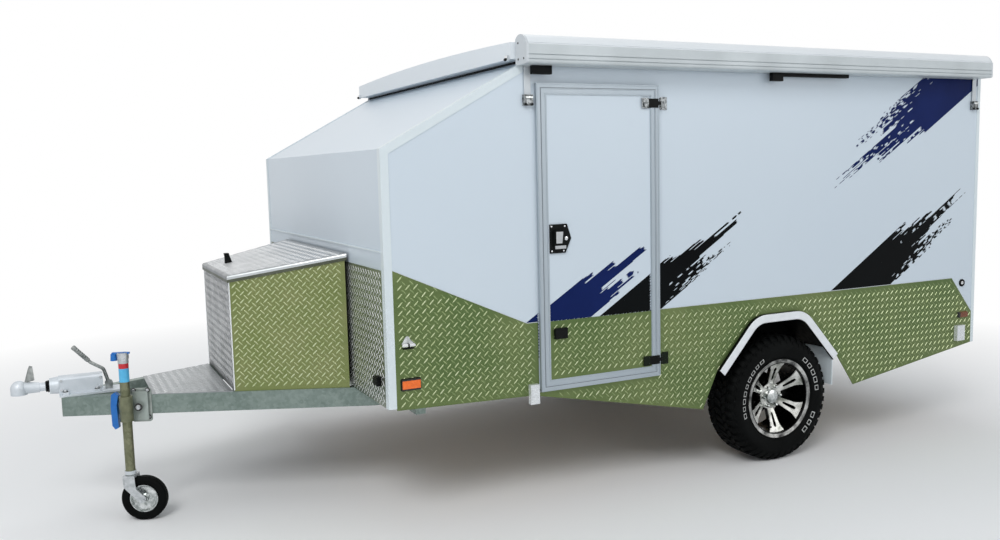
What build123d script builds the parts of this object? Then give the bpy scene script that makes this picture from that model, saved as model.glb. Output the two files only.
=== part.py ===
from build123d import *
import os
from math import atan2, cos, degrees, pi, radians, sin, sqrt, tan

os.makedirs("parts", exist_ok=True)

# Off-road camper trailer. X runs to the rear, the entry door faces -Y (left side of travel),
# Z is up and the ground is Z = 0. Sizes in millimetres.

# Driving sizes: body
body_length = 4072
body_width = 2395
axle_setback = 2410
coupling_reach = 1615
lamp_depth = 26
wall_top = 2270
knee_height = 1857
nose_setback = 757
wall_thickness = 32
floor_thickness = 20
plate_thickness = 3
header_size = 60
guard_proud = 24.5
awning_gap = 8
awning_depth = 118

# Driving sizes: drawbar and chassis
rail_top = 635
rail_height = 100
rail_width = 50
rail_wall = 4
drawbar_length = 1383
drawbar_tip_half = 61
drawbar_angle = 23.4
chassis_half_width = 700
cross_height = 75
cross_width = 50
outrigger_height = 50

# Driving sizes: running gear
tyre_radius = 372
tyre_width = 255
rim_radius = 216
flange_height = 18
tyre_proud = 12.5
axle_size = 50
spring_span = 860
spring_width = 60
leaf_thickness = 8
drum_radius = 130
drum_width = 62
hub_radius = 50

# Driving sizes: clearances
running_gap = 5
seat_gap = 0.3
pin_clearance = 0.1

# Worked-out places
half_width = body_width / 2
inner_half = half_width - wall_thickness
front_x = (coupling_reach - body_length - lamp_depth) / 2
rear_x = front_x + body_length
axle_x = front_x + axle_setback
tip_x = front_x - drawbar_length
rail_bottom = rail_top - rail_height
floor_top = rail_top + floor_thickness
nose_top_x = front_x + nose_setback
nose_angle = atan2(wall_top - knee_height, nose_setback)
skin_y = half_width + plate_thickness
tyre_outer_y = half_width + tyre_proud
guard_y = skin_y + guard_proud
awning_inner_y = half_width + awning_gap
awning_outer_y = awning_inner_y + awning_depth
middle_shift = (awning_outer_y - guard_y) / 2
taper = tan(radians(drawbar_angle))
taper_cos = cos(radians(drawbar_angle))


def drawbar_y(x):
    """Outer face of a drawbar rail, as a distance from the centre line."""
    return drawbar_tip_half + (x - tip_x) * taper


def drawbar_x(y):
    """Place along the trailer where a drawbar rail's outer face is y from the centre line."""
    return tip_x + (y - drawbar_tip_half) / taper


def finish(builder, name):
    """Write a sub-part, moved so that the origin lies midway across the overall width."""
    placed = builder.part.moved(Location((0, middle_shift, 0)))
    placed.label = name
    export_step(placed, "parts/" + name + ".step")


# Drawbar and chassis rails, rectangular hollow section with a mitred joint
join_outer_x = drawbar_x(chassis_half_width)
join_inner_x = drawbar_x(chassis_half_width - rail_width + rail_width / taper_cos)
rail_inner_tip = drawbar_tip_half - rail_width / taper_cos
wall_across = rail_wall / taper_cos
drawbar_outline = [
    (tip_x, -drawbar_tip_half),
    (join_outer_x, -chassis_half_width),
    (join_inner_x, -chassis_half_width + rail_width),
    (tip_x, -rail_inner_tip),
]
bore_start_x = tip_x + rail_wall
drawbar_bore = [
    (bore_start_x, -drawbar_y(bore_start_x) + wall_across),
    (join_outer_x, -chassis_half_width + rail_wall),
    (join_inner_x + rail_wall, -chassis_half_width + rail_width - rail_wall),
    (join_inner_x, -chassis_half_width + rail_width - rail_wall),
    (bore_start_x, -drawbar_y(bore_start_x) + (rail_width - rail_wall) / taper_cos),
]
with BuildPart() as drawbar_rails:
    with BuildSketch(Plane.XY.offset(rail_bottom)):
        Polygon(*drawbar_outline, align=None)
    extrude(amount=rail_height)
    with BuildSketch(Plane.XY.offset(rail_bottom + rail_wall)):
        Polygon(*drawbar_bore, align=None)
    extrude(amount=rail_height - 2 * rail_wall, mode=Mode.SUBTRACT)
    mirror(drawbar_rails.part, about=Plane.XZ)
finish(drawbar_rails, "drawbar_rails")

chassis_end_x = rear_x - wall_thickness
chassis_outline = [
    (join_outer_x, -chassis_half_width),
    (chassis_end_x, -chassis_half_width),
    (chassis_end_x, -chassis_half_width + rail_width),
    (join_inner_x, -chassis_half_width + rail_width),
]
chassis_mid_y = chassis_half_width - rail_width / 2
with BuildPart() as chassis_rails:
    with BuildSketch(Plane.XY.offset(rail_bottom)):
        Polygon(*chassis_outline, align=None)
    extrude(amount=rail_height)
    with BuildSketch(Plane.YZ.offset(join_outer_x)):
        with Locations((-chassis_mid_y, rail_bottom + rail_height / 2)):
            Rectangle(rail_width - 2 * rail_wall, rail_height - 2 * rail_wall)
    extrude(amount=chassis_end_x - join_outer_x, mode=Mode.SUBTRACT)
    mirror(chassis_rails.part, about=Plane.XZ)
finish(chassis_rails, "chassis_rails")

# Cross members between the rails and outriggers to the side walls: (setback, outrigger)
cross_inner = chassis_half_width - rail_width
outrigger_reach = half_width - wall_thickness
front_member = 170
door_member = 900
middle_member = 1500
wheel_bay_front = 410
wheel_bay_rear = 450
end_beam_inset = 82
bay_end_x = axle_x + wheel_bay_rear
end_beam_x = rear_x - end_beam_inset
# Cross members: (place along the trailer, has outriggers)
cross_table = [
    (front_x + front_member, True),
    (front_x + door_member, True),
    (front_x + middle_member, True),
    (axle_x - wheel_bay_front, False),
    (bay_end_x, False),
    ((bay_end_x + end_beam_x) / 2, True),
    (end_beam_x, True),
]
with BuildPart() as cross_members:
    for place, outrigger in cross_table:
        with Locations((place, 0, rail_top)):
            Box(cross_width, 2 * cross_inner, cross_height, align=(Align.CENTER, Align.CENTER, Align.MAX))
        if outrigger:
            for side in (-1, 1):
                middle = side * (chassis_half_width + outrigger_reach) / 2
                with Locations((place, middle, rail_top)):
                    Box(
                        cross_width,
                        outrigger_reach - chassis_half_width,
                        outrigger_height,
                        align=(Align.CENTER, Align.CENTER, Align.MAX),
                    )
finish(cross_members, "cross_members")

# Coupling: mounting plate, override housing, shaft, ball head and levers
coupling_height = 690
mount_plate_length = 316
mount_plate_half = 65
mount_plate_thickness = 10
mount_plate_x = tip_x - 8
housing_length = 211
housing_half = 40
housing_top = 735
collar_radius = 45
collar_length = 43
shaft_radius = 22
shaft_bore_depth = 110
head_radius = 40
ball_radius = 25.4
head_front_x = front_x - coupling_reach
head_x = head_front_x + head_radius
ball_height = 694
head_length = 135
head_bottom = 662
plate_top = rail_top + mount_plate_thickness
housing_front_x = mount_plate_x
housing_end_x = housing_front_x + housing_length
foot_length = 30
foot_height = 14
with BuildPart() as coupling_housing:
    with BuildSketch(Plane.XY.offset(rail_top)):
        with Locations((mount_plate_x + mount_plate_length / 2, 0)):
            RectangleRounded(mount_plate_length, 2 * mount_plate_half, 12)
    extrude(amount=mount_plate_thickness)
    with BuildSketch(Plane.YZ.offset(housing_front_x)):
        with Locations((0, (plate_top + housing_top) / 2)):
            RectangleRounded(2 * housing_half, housing_top - plate_top, 18)
        with Locations((0, plate_top)):
            Rectangle(2 * housing_half, foot_height, align=(Align.CENTER, Align.MIN))
    extrude(amount=housing_length)
    with BuildSketch(Plane.YZ.offset(housing_front_x)):
        with Locations((0, coupling_height)):
            Circle(collar_radius)
    extrude(amount=-collar_length, taper=6)
    for x in (housing_front_x + foot_length, housing_end_x - foot_length):
        with Locations((x, 0, plate_top)):
            Box(
                foot_length,
                2 * mount_plate_half - 10,
                foot_height,
                align=(Align.CENTER, Align.CENTER, Align.MIN),
            )
    with BuildSketch(Plane.YZ.offset(housing_front_x - collar_length)):
        with Locations((0, coupling_height)):
            Circle(shaft_radius + seat_gap)
    extrude(amount=shaft_bore_depth, mode=Mode.SUBTRACT)
finish(coupling_housing, "coupling_housing")

# Ball head on its shaft, with the socket open below
head_end_x = head_x + head_length - head_radius
shaft_end_x = housing_front_x - collar_length + shaft_bore_depth
neck_start_radius = 31
neck_radius = 26
with BuildPart() as coupling_head:
    with BuildSketch(Plane.XY.offset(head_bottom)):
        with Locations((head_x, 0)):
            Circle(head_radius)
    extrude(amount=ball_height - head_bottom)
    with Locations((head_x, 0, ball_height)):
        Sphere(head_radius)
    with BuildSketch(Plane.YZ.offset(head_x + ball_radius), mode=Mode.PRIVATE) as neck_start:
        with Locations((0, ball_height)):
            Circle(neck_start_radius)
    with BuildSketch(Plane.YZ.offset(head_end_x), mode=Mode.PRIVATE) as neck_end:
        with Locations((0, coupling_height)):
            Circle(neck_radius)
    loft([neck_start.sketch, neck_end.sketch])
    with BuildSketch(Plane.YZ.offset(head_end_x)):
        with Locations((0, coupling_height)):
            Circle(shaft_radius)
    extrude(amount=shaft_end_x - head_end_x)
    with BuildSketch(Plane.XY.offset(ball_height)):
        with Locations((head_x, 0)):
            Circle(ball_radius)
    extrude(amount=-head_radius, mode=Mode.SUBTRACT)
    with Locations((head_x, 0, ball_height)):
        Sphere(ball_radius, mode=Mode.SUBTRACT)
finish(coupling_head, "coupling_head")

# Coupling lock lever on the head and bent handbrake lever behind the housing
lever_top = 806
lever_x = head_x + 52
lever_thickness = 12
brake_pivot = (housing_end_x + 30, 0, plate_top + 27)
brake_bend = (housing_end_x + 8, 0, 752)
brake_knee = (housing_end_x - 52, 0, 792)
brake_tip = (housing_end_x - 130, 0, 880)
brake_radius = 9
brake_boss = 20
brake_ear = 24
with BuildPart() as coupling_levers:
    with BuildSketch(Plane.XZ.offset(-lever_thickness / 2)):
        Polygon(
            (lever_x - 26, ball_height + head_radius - 14),
            (lever_x - 6, lever_top - 18),
            (lever_x + 2, lever_top),
            (lever_x + 16, lever_top - 4),
            (lever_x + 18, lever_top - 24),
            (lever_x + 22, ball_height + 36),
            align=None,
        )
    extrude(amount=lever_thickness)
    add(coupling_head.part, mode=Mode.SUBTRACT)
    with BuildLine() as brake_path:
        Polyline(brake_pivot, brake_bend, brake_knee, brake_tip)
        fillet(brake_path.vertices().sort_by(Axis.Z)[1:3], 30)
    with BuildSketch(Plane(origin=brake_pivot, z_dir=Vector(*brake_bend) - Vector(*brake_pivot))):
        Circle(brake_radius)
    sweep(path=brake_path.line)
    with Locations(brake_pivot):
        Cylinder(brake_boss, brake_ear, rotation=(90, 0, 0))
    with Locations((brake_pivot[0], 0, plate_top)):
        Box(36, brake_ear, brake_boss, align=(Align.CENTER, Align.CENTER, Align.MIN))
finish(coupling_levers, "coupling_levers")

# Tread-plate tray over the drawbar, ahead of the toolbox
box_length = 564
box_gap = 12
lid_rise = 100
box_rear_height = 1341
box_front_height = box_rear_height - lid_rise
box_wall = 3
tray_length = 380
box_rear_x = front_x - plate_thickness - box_gap
box_front_x = box_rear_x - box_length
tray_front_x = box_front_x - tray_length
with BuildPart() as tread_tray:
    with BuildSketch(Plane.XY.offset(rail_top)):
        Polygon(
            (tray_front_x, -drawbar_y(tray_front_x)),
            (box_front_x, -drawbar_y(box_front_x)),
            (box_front_x, drawbar_y(box_front_x)),
            (tray_front_x, drawbar_y(tray_front_x)),
            align=None,
        )
    extrude(amount=plate_thickness)
finish(tread_tray, "tread_tray")

# Toolbox: a tapered open-topped box under a sloping lid
lid_slope = atan2(box_rear_height - box_front_height, box_length)
lid_drop = 36
lid_thickness = 3
lid_skirt = 3
lid_bend = 12


def lid_height(x, below=0):
    """Height of the lid's top face at x, or a face below it."""
    return box_front_height + (x - box_front_x) * tan(lid_slope) - below / cos(lid_slope)


def box_plan(inset):
    """Plan of the toolbox, set in from its outer faces."""
    front = box_front_x + inset
    rear = box_rear_x - inset
    side = inset / taper_cos
    return [
        (front, -drawbar_y(front) + side),
        (rear, -drawbar_y(rear) + side),
        (rear, drawbar_y(rear) - side),
        (front, drawbar_y(front) - side),
    ]


def below_lid(depth):
    """Side outline of the space above a face that lies below the lid's top."""
    rear = box_rear_x + box_length
    front = box_front_x - box_length
    above = lid_height(rear) + box_length
    return [
        (front, lid_height(front, depth)),
        (rear, lid_height(rear, depth)),
        (rear, above),
        (front, above),
    ]


def fold_edges(wedge):
    """Front and side edges of a lid's top face, where its lip is folded down."""
    return wedge.faces().sort_by(Axis.Z)[-1].edges().sort_by(Axis.X)[:-1]


lid_inset = lid_skirt + running_gap
lid_pin_radius = 2
lid_knuckle_radius = 4.5
lid_hinge_length = 90
lid_hinge_y = 430
lid_leaf_height = 34
lid_web = lid_knuckle_radius + 1.5
lid_pivot_x = box_rear_x - 2
lid_pivot_z = lid_height(lid_pivot_x, lid_thickness) - lid_knuckle_radius - 0.6
with BuildPart() as toolbox_body:
    with BuildSketch(Plane.XY.offset(rail_top)):
        Polygon(*box_plan(lid_inset), align=None)
    extrude(amount=box_rear_height - rail_top)
    with BuildSketch(Plane.XY.offset(rail_top + box_wall)):
        Polygon(*box_plan(lid_inset + box_wall), align=None)
    extrude(amount=box_rear_height - rail_top, mode=Mode.SUBTRACT)
    with BuildSketch(Plane.XZ):
        Polygon(*below_lid(lid_thickness + running_gap), align=None)
    extrude(amount=2 * half_width, both=True, mode=Mode.SUBTRACT)
    for side in (-1, 1):
        with Locations((lid_pivot_x, side * lid_hinge_y, lid_pivot_z)):
            Cylinder(lid_pin_radius, lid_hinge_length, rotation=(90, 0, 0))
        for end in (-1, 1):
            with Locations((lid_pivot_x, side * lid_hinge_y + end * lid_hinge_length / 3, lid_pivot_z)):
                Cylinder(lid_knuckle_radius, lid_hinge_length / 3 - 1, rotation=(90, 0, 0))
            with Locations((box_rear_x - lid_inset, side * lid_hinge_y + end * lid_hinge_length / 3, lid_pivot_z)):
                Box(
                    lid_pivot_x - box_rear_x + lid_inset,
                    lid_hinge_length / 3 - 1,
                    lid_leaf_height,
                    align=(Align.MIN, Align.CENTER, Align.MAX),
                )
finish(toolbox_body, "toolbox_body")

# Toolbox lid: sloping top with a folded lip on the front and sides, hinged at its rear edge
handle_setback = 108
handle_x = box_front_x + handle_setback
handle_y = 140
handle_height = 54
handle_lean = 12
lid_cut = box_plan(lid_skirt)
lid_rear_y = drawbar_y(box_rear_x + 1) - lid_skirt / taper_cos
with BuildPart() as lid_hollow:
    with BuildSketch(Plane.XY.offset(rail_top)):
        Polygon(lid_cut[0], (box_rear_x + 1, -lid_rear_y), (box_rear_x + 1, lid_rear_y), lid_cut[3], align=None)
    extrude(amount=box_rear_height + 50 - rail_top)
    with BuildSketch(Plane.XZ):
        Polygon(*below_lid(lid_thickness), align=None)
    extrude(amount=2 * half_width, both=True, mode=Mode.SUBTRACT)
    fillet(fold_edges(lid_hollow), lid_bend - lid_thickness)

with BuildPart() as toolbox_lid:
    with BuildSketch(Plane.XY.offset(rail_top)):
        Polygon(*box_plan(0), align=None)
    extrude(amount=box_rear_height + 50 - rail_top)
    with BuildSketch(Plane.XZ):
        Polygon(*below_lid(0), align=None)
    extrude(amount=2 * half_width, both=True, mode=Mode.SUBTRACT)
    fillet(fold_edges(toolbox_lid), lid_bend)
    with BuildSketch(Plane.XZ):
        Polygon(*below_lid(lid_drop), align=None)
    extrude(amount=2 * half_width, both=True, mode=Mode.INTERSECT)
    add(lid_hollow.part, mode=Mode.SUBTRACT)
    for side in (-1, 1):
        with Locations((lid_pivot_x, side * lid_hinge_y, lid_pivot_z)):
            Cylinder(lid_knuckle_radius, lid_hinge_length / 3 - 1, rotation=(90, 0, 0))
            Box(5, lid_hinge_length / 3 - 1, lid_web, align=(Align.CENTER, Align.CENTER, Align.MIN))
            Cylinder(lid_pin_radius + pin_clearance, lid_hinge_length, rotation=(90, 0, 0), mode=Mode.SUBTRACT)
finish(toolbox_lid, "toolbox_lid")

handle_seat = lid_height(handle_x)
with BuildPart() as lid_handle:
    with BuildSketch(Plane.XY.offset(handle_seat - lid_bend)):
        with Locations((handle_x, handle_y)):
            RectangleRounded(46, 34, 8)
    with BuildSketch(Plane.XY.offset(handle_seat + handle_height * 0.6)):
        with Locations((handle_x - handle_lean * 0.6, handle_y)):
            RectangleRounded(30, 24, 8)
    with BuildSketch(Plane.XY.offset(handle_seat + handle_height)):
        with Locations((handle_x - handle_lean, handle_y)):
            RectangleRounded(26, 40, 8)
    loft(ruled=True)
    with BuildSketch(Plane.XZ):
        Polygon(*below_lid(0), align=None)
    extrude(amount=2 * half_width, both=True, mode=Mode.INTERSECT)
finish(lid_handle, "lid_handle")

# Cabin floor, cut away at the wheel arches
arch_shift = -18
arch_top_half = 187
arch_low_half = 450
arch_low = 597
arch_top = 887
arch_bend = 170
wheel_box_depth = 295
arch_inner_y = tyre_outer_y - wheel_box_depth
arch_slope = (arch_low_half - arch_top_half) / (arch_top - arch_low)
arch_x = axle_x + arch_shift
floor_cut_half = arch_low_half - (rail_top - arch_low) * arch_slope + 2
with BuildPart() as floor_panel:
    with Locations(((front_x + rear_x) / 2, 0, rail_top)):
        Box(
            body_length - 2 * wall_thickness,
            2 * inner_half,
            floor_thickness,
            align=(Align.CENTER, Align.CENTER, Align.MIN),
        )
    for side in (-1, 1):
        with Locations((arch_x, side * (arch_inner_y + inner_half) / 2, rail_top)):
            Box(
                2 * floor_cut_half,
                inner_half - arch_inner_y + 6,
                floor_thickness,
                align=(Align.CENTER, Align.CENTER, Align.MIN),
                mode=Mode.SUBTRACT,
            )
finish(floor_panel, "floor_panel")

# Cabin shell: every wall is a sandwich panel
slope_rise = tan(nose_angle)
knee_drop = 1 / cos(nose_angle) - tan(nose_angle)


def slope_height(x, outward=0):
    """Height of the nose slope at x, moved outward square to its face."""
    return knee_height + (x - front_x) * slope_rise + outward / cos(nose_angle)


knee_inside = (front_x + wall_thickness, knee_height - wall_thickness * knee_drop)
with BuildPart() as front_wall:
    with BuildSketch(Plane.XZ):
        Polygon(
            (front_x, rail_top),
            (front_x, knee_height),
            knee_inside,
            (front_x + wall_thickness, rail_top),
            align=None,
        )
    extrude(amount=inner_half, both=True)
finish(front_wall, "front_wall")

with BuildPart() as nose_panel:
    with BuildSketch(Plane.XZ):
        Polygon(
            (front_x, knee_height),
            (nose_top_x, wall_top),
            (nose_top_x, slope_height(nose_top_x, -wall_thickness)),
            knee_inside,
            align=None,
        )
    extrude(amount=inner_half, both=True)
    with Locations((nose_top_x, 0, wall_top)):
        Box(header_size, 2 * inner_half, header_size, align=(Align.MIN, Align.CENTER, Align.MAX))
finish(nose_panel, "nose_panel")

with BuildPart() as rear_wall:
    with Locations((rear_x, 0, rail_top)):
        Box(
            wall_thickness,
            2 * inner_half,
            wall_top - rail_top,
            align=(Align.MAX, Align.CENTER, Align.MIN),
        )
finish(rear_wall, "rear_wall")

# Entry door opening
door_setback = 807
door_width = 733
door_bottom = 621
door_top = 2169
frame_face = 57
frame_lap = 45
frame_depth = 16
door_return = 4
door_front_x = front_x + door_setback
door_rear_x = door_front_x + door_width
door_mid_x = (door_front_x + door_rear_x) / 2
door_mid_z = (door_bottom + door_top) / 2
door_height = door_top - door_bottom

side_outline = [
    (front_x, rail_top),
    (front_x, knee_height),
    (nose_top_x, wall_top),
    (rear_x, wall_top),
    (rear_x, rail_top),
]
arch_outline = [
    (arch_x - arch_low_half, arch_low),
    (arch_x - arch_top_half, arch_top),
    (arch_x + arch_top_half, arch_top),
    (arch_x + arch_low_half, arch_low),
]
with BuildSketch() as arch_shape:
    Polygon(*arch_outline, align=None)
    fillet(arch_shape.vertices().group_by(Axis.Y)[-1], arch_bend)

with BuildPart() as side_wall_left:
    with BuildSketch(Plane.XZ.offset(half_width)):
        Polygon(*side_outline, align=None)
        add(arch_shape.sketch, mode=Mode.SUBTRACT)
        with Locations((door_mid_x, door_mid_z)):
            Rectangle(door_width - 2 * frame_lap, door_height - 2 * frame_lap, mode=Mode.SUBTRACT)
    extrude(amount=-wall_thickness)
finish(side_wall_left, "side_wall_left")

with BuildPart() as side_wall_right:
    with BuildSketch(Plane.XZ.offset(-half_width)):
        Polygon(*side_outline, align=None)
        add(arch_shape.sketch, mode=Mode.SUBTRACT)
    extrude(amount=wall_thickness)
finish(side_wall_right, "side_wall_right")

# Tread-plate skins: side skirts, front and rear plates
trim_leg = 40
skirt_top = 979
skirt_below_box = 48
skirt_front_top = box_rear_height - skirt_below_box
skirt_top_break = 739
skirt_front_bottom = 626
skirt_break_bottom = 605
skirt_bottom_break = 770
skirt_low = 386
skirt_low_front = 569
skirt_low_rear = 580
skirt_rear_bottom = 541
skirt_chamfer_run = 195
skirt_chamfer_drop = 233
skirt_rear_gap = 24
skirt_start_x = front_x + trim_leg - plate_thickness
skirt_end_x = rear_x - skirt_rear_gap
skirt_outline = [
    (skirt_start_x, skirt_front_bottom),
    (front_x + skirt_bottom_break, skirt_break_bottom),
    (axle_x - skirt_low_front, skirt_low),
    arch_outline[0],
    arch_outline[3],
    (axle_x + skirt_low_rear, skirt_low),
    (skirt_end_x, skirt_rear_bottom),
    (skirt_end_x, skirt_top - skirt_chamfer_drop),
    (skirt_end_x - skirt_chamfer_run, skirt_top),
    (front_x + skirt_top_break, skirt_top),
    (skirt_start_x, skirt_front_top),
]
with BuildPart() as skirt_left:
    with BuildSketch(Plane.XZ.offset(half_width)):
        Polygon(*skirt_outline, align=None)
        add(arch_shape.sketch, mode=Mode.SUBTRACT)
        with Locations((door_mid_x, door_mid_z)):
            Rectangle(door_width + 2 * running_gap, door_height + 2 * running_gap, mode=Mode.SUBTRACT)
    extrude(amount=plate_thickness)
finish(skirt_left, "skirt_left")

with BuildPart() as skirt_right:
    with BuildSketch(Plane.XZ.offset(-half_width)):
        Polygon(*skirt_outline, align=None)
        add(arch_shape.sketch, mode=Mode.SUBTRACT)
    extrude(amount=-plate_thickness)
finish(skirt_right, "skirt_right")

rear_trim = skirt_rear_gap + plate_thickness
lip_height = 1381
lip_depth = 8
lip_thickness = 6
with BuildPart() as end_plates:
    with Locations((front_x, 0, rail_top)):
        Box(
            plate_thickness,
            2 * (skin_y - trim_leg),
            skirt_front_top - rail_top,
            align=(Align.MAX, Align.CENTER, Align.MIN),
        )
    with Locations((rear_x, 0, skirt_rear_bottom)):
        Box(
            plate_thickness,
            2 * (skin_y - rear_trim),
            skirt_top - skirt_rear_bottom,
            align=(Align.MIN, Align.CENTER, Align.MIN),
        )
finish(end_plates, "end_plates")


def nose_strip(inner, outer, end_x):
    """Side outline of a strip along the front edge and the slope, between two offsets from them."""
    return [
        (front_x - outer, rail_top),
        (front_x - outer, knee_height + outer * knee_drop),
        (end_x, slope_height(end_x, outer)),
        (end_x, slope_height(end_x, inner)),
        (front_x - inner, knee_height + inner * knee_drop),
        (front_x - inner, rail_top),
    ]


trim_end_x = nose_top_x - 12
with BuildPart() as corner_trims:
    for side in (-1, 1):
        with BuildSketch(Plane.XZ.offset(-side * half_width)):
            Polygon(*nose_strip(plate_thickness - trim_leg, plate_thickness, trim_end_x), align=None)
        extrude(amount=-side * plate_thickness)
        with BuildSketch(Plane.XZ.offset(-side * (skin_y - trim_leg))):
            Polygon(*nose_strip(0, plate_thickness, trim_end_x), align=None)
        extrude(amount=-side * (trim_leg - plate_thickness))
        with BuildSketch(Plane.XY.offset(skirt_rear_bottom)):
            with Locations((rear_x + plate_thickness, side * skin_y)):
                Rectangle(rear_trim, rear_trim, align=(Align.MAX, Align.MAX if side > 0 else Align.MIN))
            with Locations((rear_x, side * half_width)):
                Rectangle(
                    body_length,
                    body_width,
                    align=(Align.MAX, Align.MAX if side > 0 else Align.MIN),
                    mode=Mode.SUBTRACT,
                )
        extrude(amount=wall_top - skirt_rear_bottom)
    with Locations((front_x, 0, lip_height)):
        Box(lip_depth, 2 * (skin_y - trim_leg), lip_thickness, align=(Align.MAX, Align.CENTER, Align.CENTER))
finish(corner_trims, "corner_trims")

# Mudguards: sheet bent over each wheel with a deep rounded lip, and the arch's inner wall
guard_sheet = 3
guard_lip = 50
guard_roll = 16
guard_round = 9
with BuildPart() as guard_rim:
    with BuildSketch(Plane.XZ.offset(guard_y - guard_roll)):
        with BuildLine() as rim_line:
            Polyline(*arch_outline)
            fillet(rim_line.vertices().group_by(Axis.Y)[-1], arch_bend)
            offset(amount=guard_lip, side=Side.RIGHT)
        make_face()
    extrude(amount=guard_roll)
    fillet(guard_rim.faces().sort_by(Axis.Y)[0].edges(), guard_round)

with BuildPart() as mudguards:
    with BuildSketch(Plane.XZ.offset(arch_inner_y)):
        with BuildLine() as guard_line:
            Polyline(*arch_outline)
            fillet(guard_line.vertices().group_by(Axis.Y)[-1], arch_bend)
            offset(amount=guard_sheet, side=Side.RIGHT)
        make_face()
    extrude(amount=guard_y - guard_round - arch_inner_y)
    add(guard_rim.part)
    with BuildSketch(Plane.XZ.offset(arch_inner_y)):
        add(arch_shape.sketch)
        with Locations((arch_x, rail_bottom)):
            Rectangle(body_length, rail_height, align=(Align.CENTER, Align.MIN), mode=Mode.SUBTRACT)
    extrude(amount=-guard_sheet)
    mirror(mudguards.part, about=Plane.XZ)
finish(mudguards, "mudguards")

# Mud flaps hung from the guards' rear tips
flap_width = 236
flap_thickness = 6
flap_bottom = 408
flap_clear = 24
flap_stay_height = 20
flap_stay_width = 24
flap_stay_spread = 80
flap_y = guard_y - guard_roll - 2 - flap_width / 2
flap_front_x = axle_x + tyre_radius + flap_clear
flap_rear_x = flap_front_x + flap_thickness
guard_across = guard_sheet * sqrt(1 + arch_slope**2)


def guard_inside(height):
    """Inner face of the rear run of a mudguard at a height."""
    return arch_x + arch_low_half - (height - arch_low) * arch_slope - guard_across


flap_top = arch_low + (guard_inside(arch_low) - flap_rear_x) / arch_slope
stay_low = arch_low + 2
stay_high = min(stay_low + flap_stay_height, flap_top)
with BuildPart() as mud_flaps:
    for side in (-1, 1):
        with Locations((flap_front_x, side * flap_y, flap_bottom)):
            Box(
                flap_thickness,
                flap_width,
                flap_top - flap_bottom,
                align=(Align.MIN, Align.CENTER, Align.MIN),
            )
        for across in (-1, 1):
            with BuildSketch(Plane.XZ.offset(-side * flap_y - across * flap_stay_spread)):
                Polygon(
                    (flap_rear_x, stay_low),
                    (guard_inside(stay_low), stay_low),
                    (guard_inside(stay_high), stay_high),
                    (flap_rear_x, stay_high),
                    align=None,
                )
            extrude(amount=flap_stay_width / 2, both=True)
finish(mud_flaps, "mud_flaps")

# Entry door: leaf with an aluminium edge frame that laps over the wall on a seal gap
frame_inner_y = half_width + running_gap
frame_outer_y = frame_inner_y + frame_depth
leaf_outer_y = frame_outer_y - 4
leaf_inner_y = half_width - 24
with BuildPart() as door_frame:
    with BuildSketch(Plane.XZ.offset(frame_inner_y)):
        with Locations((door_mid_x, door_mid_z)):
            Rectangle(door_width, door_height)
            Rectangle(door_width - 2 * frame_face, door_height - 2 * frame_face, mode=Mode.SUBTRACT)
    extrude(amount=frame_depth)
    with BuildSketch(Plane.XZ.offset(leaf_inner_y)):
        with Locations((door_mid_x, door_mid_z)):
            Rectangle(
                door_width - 2 * frame_face + 2 * door_return,
                door_height - 2 * frame_face + 2 * door_return,
            )
            Rectangle(door_width - 2 * frame_face, door_height - 2 * frame_face, mode=Mode.SUBTRACT)
    extrude(amount=frame_inner_y - leaf_inner_y)
finish(door_frame, "door_frame")

leaf_width = door_width - 2 * frame_face
leaf_height = door_height - 2 * frame_face
leaf_bottom = door_bottom + frame_face
with BuildPart() as door_leaf:
    with BuildSketch(Plane.XZ.offset(leaf_inner_y)):
        with Locations((door_mid_x, door_mid_z)):
            Rectangle(leaf_width, leaf_height)
    extrude(amount=leaf_outer_y - leaf_inner_y)
finish(door_leaf, "door_leaf")

with BuildPart() as door_plate:
    with Locations((door_mid_x, -leaf_outer_y, leaf_bottom)):
        Box(
            leaf_width,
            plate_thickness,
            skirt_top - leaf_bottom,
            align=(Align.CENTER, Align.MAX, Align.MIN),
        )
finish(door_plate, "door_plate")

# Door hinges: (centre height, face that the fixed leaf sits on)
hinge_radius = 8
hinge_pin = 4
hinge_length = 57
hinge_x = door_rear_x + hinge_radius + 1
hinge_y = frame_outer_y - hinge_radius + 1
hinge_strap = 4
hinge_reach = 112
hinge_arm = 26
hinge_plate = (40, 4, 66)
hinge_table = [(2076, half_width), (710, skin_y)]
knuckle = hinge_length / 3
with BuildPart() as door_hinge_leaves:
    for height, seat_y in hinge_table:
        with Locations((hinge_x, -hinge_y, height)):
            Cylinder(hinge_pin, hinge_length)
        for end in (-1, 1):
            with Locations((hinge_x, -hinge_y, height + end * knuckle)):
                Cylinder(hinge_radius, knuckle - 1)
                with Locations((0, hinge_y - seat_y, 0)):
                    Box(
                        hinge_arm,
                        hinge_y - seat_y - 4,
                        knuckle - 1,
                        align=(Align.MIN, Align.MAX, Align.CENTER),
                    )
        with Locations((hinge_x + hinge_radius + running_gap, -seat_y, height)):
            Box(*hinge_plate, align=(Align.MIN, Align.MAX, Align.CENTER))
finish(door_hinge_leaves, "door_hinge_leaves")

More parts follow.
